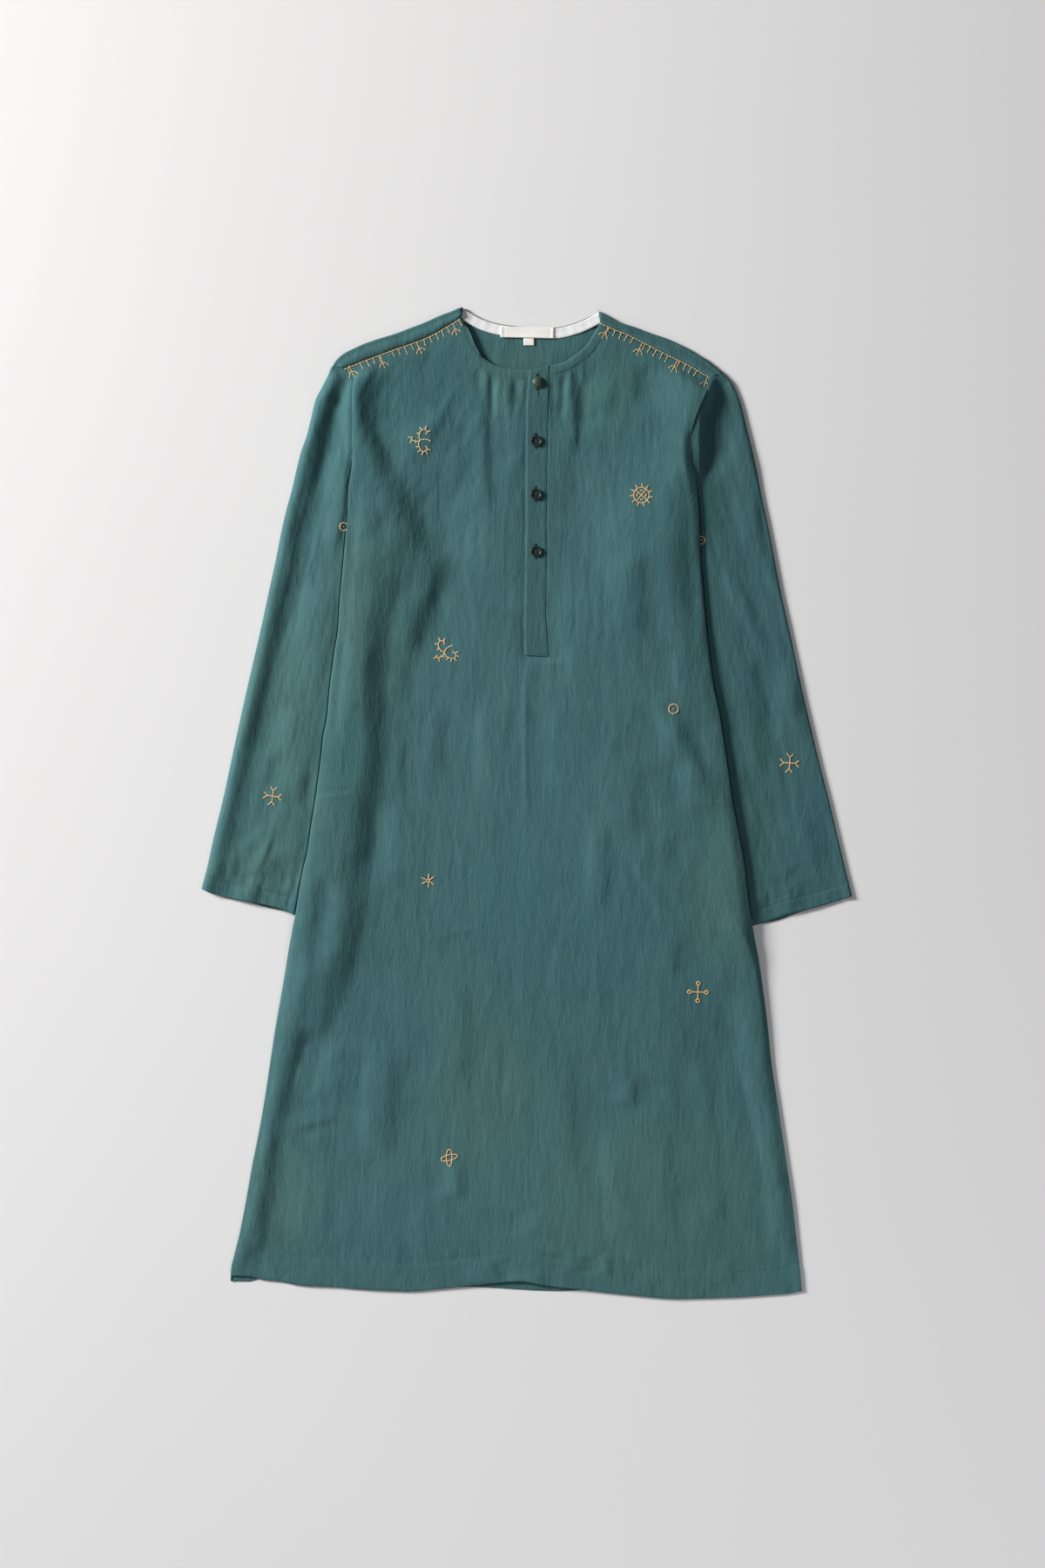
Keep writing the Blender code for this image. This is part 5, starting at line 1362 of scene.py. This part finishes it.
# ------------------------------------------------------------------ threads
def capsules(name, starts, ends, height, radius, flat, mat, raise_by=0.35, sides=6):
    """Row of short stitches as one joined mesh.  starts and ends are plan points."""
    starts, ends = np.asarray(starts, float), np.asarray(ends, float)
    radius = np.broadcast_to(np.asarray(radius, float), (len(starts),))
    t = np.array([0.0, 0.16, 0.5, 0.84, 1.0])
    swell = np.array([0.0, 0.78, 1.0, 0.78, 0.0])
    mid = starts[:, None, :] + (ends - starts)[:, None, :] * t[None, :, None]
    z = height(mid[..., 0].ravel(), mid[..., 1].ravel()).reshape(mid.shape[:2])
    arch = np.sin(np.pi * t)[None, :] * radius[:, None] * flat * 0.5
    z = z + radius[:, None] * flat * raise_by + arch
    centre = metres(mid[..., 0], mid[..., 1], z)
    d = ends - starts
    size = np.hypot(d[:, 0], d[:, 1]) + 1e-9
    side = np.stack([d[:, 1] / size, d[:, 0] / size, np.zeros(len(d))], axis=-1)
    side = np.stack([d[:, 1] / size, d[:, 0] / size, np.zeros(len(d))], axis=-1)
    verts, faces = [], []
    per = 2 + 3 * sides
    angles = 2 * np.pi * np.arange(sides) / sides
    block = np.zeros((len(starts), per, 3))
    block[:, 0] = centre[:, 0]
    block[:, 1] = centre[:, 4]
    for r in range(3):
        for k, a in enumerate(angles):
            off = side * (math.cos(a) * radius * swell[r + 1] * 0.001)[:, None]
            off = off + np.array([0, 0, 1.0]) * (math.sin(a) * radius * flat * swell[r + 1] * 0.001)[:, None]
            block[:, 2 + r * sides + k] = centre[:, r + 1] + off
    pattern = []
    for k in range(sides):
        n = (k + 1) % sides
        pattern.append((0, 2 + n, 2 + k))
        for r in range(2):
            a, b = 2 + r * sides, 2 + (r + 1) * sides
            pattern.append((a + k, a + n, b + n, b + k))
        pattern.append((1, 2 + 2 * sides + k, 2 + 2 * sides + n))
    for i in range(len(starts)):
        faces += [[i * per + x for x in f] for f in pattern]
    return outward(add_mesh(name, block.reshape(-1, 3), faces, mat))


def run_stitches(path, length, gap, seed, lean=0.0, wander=0.0):
    """Start and end points of stitches laid along a smooth plan line."""
    line = Line(path) if not isinstance(path, Line) else path
    rng = np.random.default_rng(seed)
    starts, ends, at = [], [], 0.0
    while at < line.length - 0.4 * length:
        size = length * rng.uniform(0.85, 1.15)
        a, b = at / line.length, min(1.0, (at + size) / line.length)
        pa, pb = np.array(line.at(a), float), np.array(line.at(b), float)
        d = pb - pa
        n = np.array([-d[1], d[0]]) / (np.hypot(*d) + 1e-9)
        shift = rng.normal(0, wander)
        starts.append(pa + n * (lean + shift))
        ends.append(pb + n * (-lean + shift))
        at += size + gap
    return starts, ends


def ring(cu, cv, r, first=0.0, last=360.0, squash=1.0, tilt=0.0, n=28):
    a = np.radians(np.linspace(first, last, n))
    x, y = r * np.cos(a), r * squash * np.sin(a)
    c, s = math.cos(math.radians(tilt)), math.sin(math.radians(tilt))
    return [(cu + x[i] * c - y[i] * s, cv + x[i] * s + y[i] * c) for i in range(n)]


def spoke(cu, cv, angle, r0, r1):
    a = math.radians(angle)
    return [(cu + r0 * math.cos(a), cv + r0 * math.sin(a)), (cu + r1 * math.cos(a), cv + r1 * math.sin(a))]


def curl(cu, cv, du, dv, size, hand, turn, rays):
    """Stem that leaves a node and winds into an open curl, with short rays on its outer side."""
    far, first = math.hypot(du, dv), math.degrees(math.atan2(-dv, -du))

    def at(f, extra=0.0):
        a = math.radians(first + hand * turn * f)
        r = mix(far, size, float(ease(f / 0.24))) * (1.0 - 0.55 * max(0.0, f - 0.60) / 0.40) + extra
        return (cu + du + r * math.cos(a), cv + dv + r * math.sin(a))

    out = [[at(k / 22) for k in range(23)]]
    for k in range(rays):
        f = 0.20 + 0.54 * k / max(1, rays - 1)
        out.append([at(f, 0.1), at(f, 4.2)])
    return out


def forked_cross(cu, cv, half, tilt):
    out = []
    for k in range(4):
        a = tilt + 90 * k
        out.append(spoke(cu, cv, a, 0.0, half * 0.62))
        tip = spoke(cu, cv, a, 0.0, half * 0.55)[1]
        for off in (-42, 42):
            b = math.radians(a + off)
            out.append([tip, (tip[0] + 0.52 * half * math.cos(b), tip[1] + 0.52 * half * math.sin(b))])
    return out


def body_motifs():
    out = []
    # sprig of three curls at the left of the chest, and one below it, turned
    for cu, cv, lean in ((483.2, 505.4, 0), (510.6, 748.2, -46)):
        c, s = math.cos(math.radians(lean)), math.sin(math.radians(lean))
        for du, dv, size, hand, turn, rays in ((4.2, -7.6, 4.8, 1, 300, 4), (4.0, 8.6, 5.0, -1, 300, 5), (-8.0, -2.2, 3.2, 1, 235, 3)):
            out += curl(cu, cv, du * c - dv * s, du * s + dv * c, size, hand, turn, rays)
        out.append([(cu + x * c - y * s, cv + x * s + y * c) for x, y in ((0, 0), (3.0, -0.7), (6.5, -0.7), (9.5, 0.3), (12.0, 1.9))])
    # wheel with rays
    cu, cv = 736.5, 569.0
    out.append(ring(cu, cv, 8.9))
    out += [spoke(cu, cv, 12 + k * 360 / 11, 8.9, 13.6) for k in range(11)]
    out += [spoke(cu, cv, 42, -8.6, 8.6), spoke(cu, cv, 132, -8.6, 8.6)]
    out += [ring(cu + 6.3 * math.cos(math.radians(a)), cv + 6.3 * math.sin(math.radians(a)), 1.9, a + 100, a + 260, n=10) for a in (0, 90, 180, 270)]
    # ring with a dot
    out += [ring(773, 814, 5.6), ring(773, 814, 0.9, n=8)]
    # six-armed star
    out += [spoke(492, 1011, 90 + 60 * k + (4 if k % 2 else -3), 0.6, 8.2) for k in range(6)]
    # cross with ringed ends
    for k in range(4):
        a = 90 * k + 2
        out.append(spoke(801.6, 1138.8, a, 0.0, 7.4))
        tip = spoke(801.6, 1138.8, a, 0.0, 9.9)[1]
        out.append(ring(tip[0], tip[1], 2.4, n=14))
    # two long loops laid across each other
    out += [ring(516, 1329, 10.2, 0, 360, 0.32, 90), ring(516, 1329, 10.2, 0, 360, 0.32, -14)]
    return out


def crow_foot(cu, cv, size, tilt):
    out = []
    c, s = math.cos(math.radians(tilt)), math.sin(math.radians(tilt))
    for path in (((0, -8), (0, 6.5)), ((0, -1), (-3.0, 0.6), (-5.2, 4.6)), ((0, -1), (3.0, 0.6), (5.2, 4.6))):
        out.append([(cu + size * (x * c - y * s), cv + size * (x * s + y * c)) for x, y in path])
    return out


def shoulder_motifs():
    out = []
    for line, feet, tilt in ((SEAM_LEFT, ((523, 379), (482, 400.5), (440, 417), (404.5, 427.5)), -22),
                             (SEAM_RIGHT, ((694.5, 383), (734, 402), (774, 421.5), (810, 440)), 26)):
        moved = Line(line.points + (0.0, 1.2))
        out.append([tuple(p) for p in moved.dense(4.0)])
        count = 19
        for k in range(count):
            share = (k + 0.6) / count
            u, v = (float(x) for x in moved.at(share))
            if min(abs(u - f[0]) for f in feet) < 4.2:
                continue
            long = 9.2 + 1.0 * math.sin(2.3 * k)
            lean = math.radians(tilt + 90 + 5 * math.sin(1.7 * k))
            tip = (u + long * math.cos(lean), v + long * math.sin(lean))
            out.append([(u, v), tip])
        for k, (fu, fv) in enumerate(feet):
            out += crow_foot(fu, fv, 1.1, tilt + (4, -3, 2, -4)[k])
    return out


def sew(name, paths, height, mat, length=3.0, radius=0.66, seed=81):
    """Stem stitches along every path, joined in one mesh."""
    starts, ends = [], []
    for k, path in enumerate(paths):
        a, b = run_stitches(path, length, -0.5, seed + k, 0.14, 0.06)
        starts += a
        ends += b
    rng = np.random.default_rng(seed)
    return capsules(name, starts, ends, height, radius * rng.uniform(0.88, 1.12, len(starts)), 0.62, mat)


def shoulder_height(u, v):
    return np.maximum(front_z(u, v), 4.72)


def placket_height(u, v):
    return band_surface(u, v)


def lathe(name, place, rows, sides, shape, mat):
    """Round piece: shape(share out, angle) gives radius and height in mm."""
    u0, v0, z0 = place
    f = np.linspace(0.0, 1.0, rows)[:, None]
    a = np.linspace(0.0, 2 * np.pi, sides, endpoint=False)[None, :]
    r, z = shape(f, a)
    r, z = np.broadcast_arrays(r, z)
    x, y = r * np.cos(a), r * np.sin(a)
    pts = metres(u0 + x / UNIT, v0 - y / UNIT, z0 + z)
    verts = pts.reshape(-1, 3)
    i, j = np.meshgrid(np.arange(rows - 1), np.arange(sides), indexing="ij")
    jn = (j + 1) % sides
    faces = np.stack([i * sides + j, (i + 1) * sides + j, (i + 1) * sides + jn, i * sides + jn], axis=-1).reshape(-1, 4)
    obj = add_mesh(name, verts, faces, mat)
    import bmesh
    bm = bmesh.new()
    bm.from_mesh(obj.data)
    bmesh.ops.remove_doubles(bm, verts=bm.verts, dist=1e-6)
    bmesh.ops.recalc_face_normals(bm, faces=bm.faces)
    bm.to_mesh(obj.data)
    bm.free()
    return obj


def four_hole(radius):
    def shape(f, a):
        key = np.array([0.0, 0.5, 0.62, 0.70, 0.76, 0.82, 0.88, 0.94, 1.0])
        rr = pchip(key, np.array([0.0, 0.70, 0.82, 0.93, 0.985, 1.0, 0.97, 0.8, 0.0]) * radius, f)
        zz = pchip(key, np.array([1.35, 1.45, 2.25, 2.35, 1.95, 1.3, 0.55, 0.15, 0.1]), f)
        r = np.broadcast_to(rr, np.broadcast_shapes(f.shape, a.shape))
        z = np.broadcast_to(zz, r.shape).copy()
        x, y = r * np.cos(a), r * np.sin(a)
        for hx, hy in ((1.25, 1.25), (-1.25, 1.25), (1.25, -1.25), (-1.25, -1.25)):
            hole = np.exp(-(((x - hx) ** 2 + (y - hy) ** 2) / 0.42) ** 2)
            z = np.where(f < 0.6, z - 1.05 * hole, z)
        z = z + 0.08 * np.sin(3 * a + 0.6) * np.sin(np.pi * np.clip(f / 0.7, 0, 1))
        return r, z
    return shape


def domed(radius):
    def shape(f, a):
        key = np.array([0.0, 0.2, 0.4, 0.58, 0.70, 0.80, 0.90, 1.0])
        rr = pchip(key, np.array([0.0, 0.32, 0.62, 0.86, 0.98, 1.0, 0.82, 0.0]) * radius, f)
        zz = pchip(key, np.array([4.1, 3.95, 3.35, 2.45, 1.75, 1.05, 0.3, 0.15]), f)
        r = np.broadcast_to(rr, np.broadcast_shapes(f.shape, a.shape))
        z = np.broadcast_to(zz, r.shape).copy()
        x, y = r * np.cos(a), r * np.sin(a)
        cord = np.sin(2.1 * x + 0.5) * np.sin(2.1 * y - 0.4)
        over = np.where(np.sin(1.05 * (x + y)) > 0, np.sin(2.9 * (x - y)), np.sin(2.9 * (x + y)))
        carve = 0.20 * over + 0.12 * cord
        z = z + np.where(f < 0.66, carve * np.sin(np.pi * np.clip(f / 0.66, 0, 1)) ** 0.5, 0.0)
        return r, z
    return shape


def build_buttons(small_mat, top_mat, thread_mat):
    out = []
    for k, ((bu, bv), radius) in enumerate(zip(BUTTON_PLACES, BUTTON_RADII)):
        z0 = float(band_surface(np.array([[bu]]), np.array([[bv]]))[0, 0]) + 0.2
        if k == 0:
            obj = lathe("button_top_domed", (bu, bv, z0 - 0.2), 34, 56, domed(radius * UNIT), top_mat)
        else:
            obj = lathe("button_%d_four_hole" % (k + 1), (bu, bv, z0), 40, 56, four_hole(radius * UNIT), small_mat)
        out.append(obj)
    starts, ends, z_at = [], [], []
    for k, (bu, bv) in enumerate(BUTTON_PLACES[1:], 1):
        z0 = float(band_surface(np.array([[bu]]), np.array([[bv]]))[0, 0]) + 0.2
        h = 1.25 / UNIT
        for (xa, ya), (xb, yb) in (((-h, -h), (-h, h)), ((h, -h), (h, h)), ((-h - 0.45, -h), (-h - 0.45, h)), ((h - 0.45, -h), (h - 0.45, h))):
            starts.append((bu + xa, bv + ya))
            ends.append((bu + xb, bv + yb))
            z_at.append(z0 + 1.15)
    level = {}

    def height(u, v):
        z = np.zeros(u.shape)
        for n, (bu, bv) in enumerate(BUTTON_PLACES):
            near = np.hypot(u - bu, v - bv) < 8
            z0 = float(band_surface(np.array([[bu]]), np.array([[bv]]))[0, 0]) + 0.2
            z[near] = z0 + 1.2
        return z

    thread = capsules("button_sewing_thread", starts, ends, height, 0.26, 0.9, thread_mat, 0.4, 6)
    return out, thread


def build_buttonholes(mat):
    """Vertical worked holes: close cross stitches down both sides and bars at the ends."""
    starts, ends = [], []
    for k, (bu, bv) in enumerate(BUTTON_PLACES):
        half = (9.0, 8.4, 8.4, 8.4)[k]
        rng = np.random.default_rng(90 + k)
        rows = np.arange(-half, half, 0.62)
        for side in (-1, 1):
            for y in rows:
                wobble = rng.normal(0, 0.12)
                starts.append((bu - 0.6 + side * 0.12, bv + y))
                ends.append((bu - 0.6 + side * (1.75 + wobble), bv + y + rng.normal(0, 0.1)))
        for y in (-half - 0.4, -half + 0.3, half - 0.3, half + 0.4):
            starts.append((bu - 2.6, bv + y))
            ends.append((bu + 1.4, bv + y))
    # loop that comes out under the top button
    bu, bv = BUTTON_PLACES[0]
    for a, b in run_pairs([(bu - 0.4, bv + 5.5), (bu + 0.6, bv + 10.0), (bu - 0.2, bv + 16.0)], 2.0):
        starts.append(a)
        ends.append(b)
    return capsules("buttonhole_stitching", starts, ends, placket_height, 0.24, 0.8, mat, 0.5, 5)


def run_pairs(path, length):
    a, b = run_stitches(path, length, -0.3, 7)
    return list(zip(a, b))


def topstitch_rows():
    """Stitch rows on the body: the hem, the short hip seams and the neckline."""
    hem = [(u, float(down(HEM_FRONT, u)) - HEM_RISE + 0.8) for u in np.linspace(273, 915, 60)]
    hip = [[(367, 912.2), (386, 909.2), (406.5, 906.6)], [(815, 917.2), (828, 918.2), (841, 919.2)]]
    neck = [tuple(p) for p in Line(np.array(NECK.points) + 0.0).dense(3.0)]
    return hem, hip, neck


def neck_row(reach):
    """Stitch row inside the neckline at a constant distance from it."""
    share = np.linspace(0.03, 0.97, 90)
    u, v = NECK.at(share)
    ua, va = NECK.at(share - 0.01)
    ub, vb = NECK.at(share + 0.01)
    size = np.hypot(ub - ua, vb - va)
    return [(u[i] - (vb - va)[i] / size[i] * reach, v[i] + (ub - ua)[i] / size[i] * reach) for i in range(len(share))]


# ------------------------------------------------------------------ stage
def build_stage():
    import bmesh
    bm = bmesh.new()
    bmesh.ops.create_grid(bm, x_segments=8, y_segments=8, size=4.0)
    mesh = bpy.data.meshes.new("floor")
    bm.to_mesh(mesh)
    bm.free()
    floor = bpy.data.objects.new("floor", mesh)
    floor.data.materials.append(floor_material())
    floor.location = (0.0, 0.0, -0.0002)
    bpy.context.scene.collection.objects.link(floor)

    scene = bpy.context.scene
    scene.view_settings.view_transform = "Standard"
    scene.view_settings.look = "None"
    scene.view_settings.exposure = 0.0
    scene.view_settings.gamma = 1.0
    world = bpy.data.worlds.new("studio")
    scene.world = world
    world.use_nodes = True
    back = world.node_tree.nodes["Background"]
    back.inputs["Color"].default_value = (0.93, 0.96, 1.0, 1.0)
    back.inputs["Strength"].default_value = 0.112

    def area(name, place, aim, size, power, colour):
        light = bpy.data.lights.new(name, "AREA")
        light.shape = "RECTANGLE"
        light.size, light.size_y = size
        light.energy = power
        light.color = colour
        obj = bpy.data.objects.new(name, light)
        obj.location = place
        from mathutils import Vector
        obj.rotation_euler = (Vector(aim) - Vector(place)).to_track_quat("-Z", "Y").to_euler()
        scene.collection.objects.link(obj)

    area("key", (-4.552, 2.125, 1.945), (0.0, 0.0, 0.0), (1.35, 1.35), 557.0, (1.0, 0.985, 0.965))
    area("fill", (0.820, -1.500, 1.387), (0.0, 0.0, 0.0), (1.4, 1.4), 10.0, (0.97, 0.98, 1.0))

    cam = bpy.data.cameras.new("top")
    cam.sensor_fit = "VERTICAL"
    cam.sensor_height = 24.0
    high = 2.8
    cam.lens = 24.0 * (high - 0.004) / 1.656
    cam.clip_start, cam.clip_end = 0.1, 20.0
    eye = bpy.data.objects.new("top", cam)
    eye.location = (-0.0046, 0.0200, high)
    eye.rotation_euler = (0.0, 0.0, 0.0)
    scene.collection.objects.link(eye)
    scene.camera = eye


# ------------------------------------------------------------------ the garment
cloth = cloth_material("kurta_cloth")
back_cloth = cloth_material("kurta_cloth_inside", 0.04)
front = build_front(cloth)
back = build_back(back_cloth)
left = build_sleeve("sleeve_left_tube", "left", cloth)
# the right sleeve gets a painted-shade copy of the cloth, darker because it faces away from the light
right = build_sleeve("sleeve_right_tube", "right", cloth_material("kurta_cloth_right_sleeve_shaded", 0.0, 0.13))
# the placket band gets a painted-shade copy of the cloth, darker than the front around it
band, under_band = build_placket(cloth_material("kurta_cloth_placket_shaded", 0.0, 0.22))
tape = build_tape(plain_cloth("tape_white_cotton", (0.88, 0.875, 0.88), (0.79, 0.785, 0.80), 900.0))
label, tab = build_labels(plain_cloth("label_cream_weave", (0.90, 0.885, 0.85), (0.82, 0.80, 0.76), 1400.0),
                          plain_cloth("tab_cream_weave", (0.91, 0.895, 0.84), (0.83, 0.81, 0.75), 1400.0))
teal_thread = plain_cloth("teal_thread", (0.050, 0.125, 0.130), (0.030, 0.085, 0.090), 2200.0, 0.7)
dark_thread = plain_cloth("dark_thread", (0.016, 0.034, 0.036), (0.009, 0.020, 0.022), 2200.0, 0.6)
tan_thread = plain_cloth("tan_thread", (0.80, 0.55, 0.28), (0.62, 0.40, 0.19), 2600.0, 0.55)
buttons, button_thread = build_buttons(
    button_material("button_black_horn", (0.010, 0.017, 0.017), (0.022, 0.034, 0.032), 0.32),
    button_material("button_olive_horn", (0.040, 0.078, 0.046), (0.017, 0.040, 0.032), 0.45), dark_thread)
holes = build_buttonholes(dark_thread)

body_threads = sew("embroidery_body", body_motifs(), front_z, tan_thread, seed=81)
shoulder_threads = sew("embroidery_shoulders", shoulder_motifs(), shoulder_height, tan_thread, 4.6, 0.47, seed=181)
left_threads = sew("embroidery_sleeve_left", forked_cross(313.5, 914.0, 11.5, 8) + [ring(395.2, 605.0, 4.6), ring(395.2, 605.0, 0.9, n=8)],
                   lambda u, v: sleeve_height("left", u, v), tan_thread, seed=281)
right_threads = sew("embroidery_sleeve_right", forked_cross(907.0, 876.0, 12.0, 4) + [ring(805.2, 620.0, 4.6), ring(805.2, 620.0, 0.9, n=8)],
                    lambda u, v: sleeve_height("right", u, v), tan_thread, seed=381)


def stitched(name, rows, height, radius=0.17, seed=400, length=2.5, gap=0.75):
    starts, ends = [], []
    for k, row in enumerate(rows):
        a, b = run_stitches(row, length, gap, seed + k)
        starts += a
        ends += b
    return capsules(name, starts, ends, height, radius, 0.8, teal_thread, 0.6, 5)


hem_row, hip_rows, _ = topstitch_rows()
body_stitches = stitched("topstitching_body", [hem_row] + hip_rows + [neck_row(9.6)], front_z)
edge_rows = [[(float(across(PLACKET_LEFT, v)) + 3.0, v) for v in np.linspace(430, 750, 30)],
             [(float(across(PLACKET_RIGHT, v)) - 2.6, v) for v in np.linspace(428, 750, 30)],
             [(606.5, 749.6), (616, 750.3), (627, 751.0)], [(606.5, 738.5), (616, 739.2), (627, 739.8)]]
band_stitches = stitched("topstitching_placket", edge_rows, placket_height, seed=500)
sleeve_stitches = []
for side, cuff in (("left", CUFF_LEFT), ("right", CUFF_RIGHT)):
    share = np.linspace(0.03, 0.93, 30)
    cu, cv = cuff.at(share)
    row = [(float(a), float(b) - 18.5) for a, b in zip(cu, cv)]
    sleeve_stitches.append(stitched("topstitching_cuff_" + side, [row], lambda u, v, s=side: sleeve_height(s, u, v), seed=600))


def tape_height(u, v):
    """Height of the tape's upper side at plan points on it."""
    su, sv = NECK_BACK.at(np.linspace(0.0, 1.0, 200))
    share = np.linspace(0.0, 1.0, 200)[np.argmin((su[None, :] - u[:, None]) ** 2 + (sv[None, :] - v[:, None]) ** 2, axis=1)]
    return tape_z(share, np.full(u.shape, 5.0)) + 0.02


tape_rows = []
for reach in (2.6, 11.0):
    u, v = tape_point(np.linspace(0.03, 0.97, 60), np.full(60, reach))
    tape_rows.append([(float(a), float(b)) for a, b in zip(u, v)])
starts, ends = [], []
for row in tape_rows:
    a, b = run_stitches(row, 2.4, 0.8, 700)
    starts += a
    ends += b
tape_stitches = capsules("tape_stitching", starts, ends, tape_height, 0.16, 0.8,
                         plain_cloth("white_thread", (0.80, 0.79, 0.80), (0.62, 0.61, 0.62), 2200.0), 0.6, 5)

for piece, node, slot in ((front, "front", "kurta_cloth"), (back, "back", "kurta_cloth"), (left, "sleeve_left", "kurta_cloth"),
                          (right, "sleeve_right", "kurta_cloth"), (band, "placket_upper_band", "kurta_cloth"),
                          (under_band, "placket_under_band", "kurta_cloth"), (tape, "back_neck_tape", "neck_tape"),
                          (label, "label", "label_cloth"), (tab, "size_label", "label_cloth"),
                          (buttons[0], "button_1", "top_button"), (buttons[1], "button_2", "button"),
                          (buttons[2], "button_3", "button"), (buttons[3], "button_4", "button")):
    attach(piece, "root")
    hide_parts(node)
for piece in (button_thread, holes, body_threads, shoulder_threads, left_threads, right_threads, body_stitches,
              band_stitches, tape_stitches, *sleeve_stitches):
    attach(piece, "root")

build_stage()
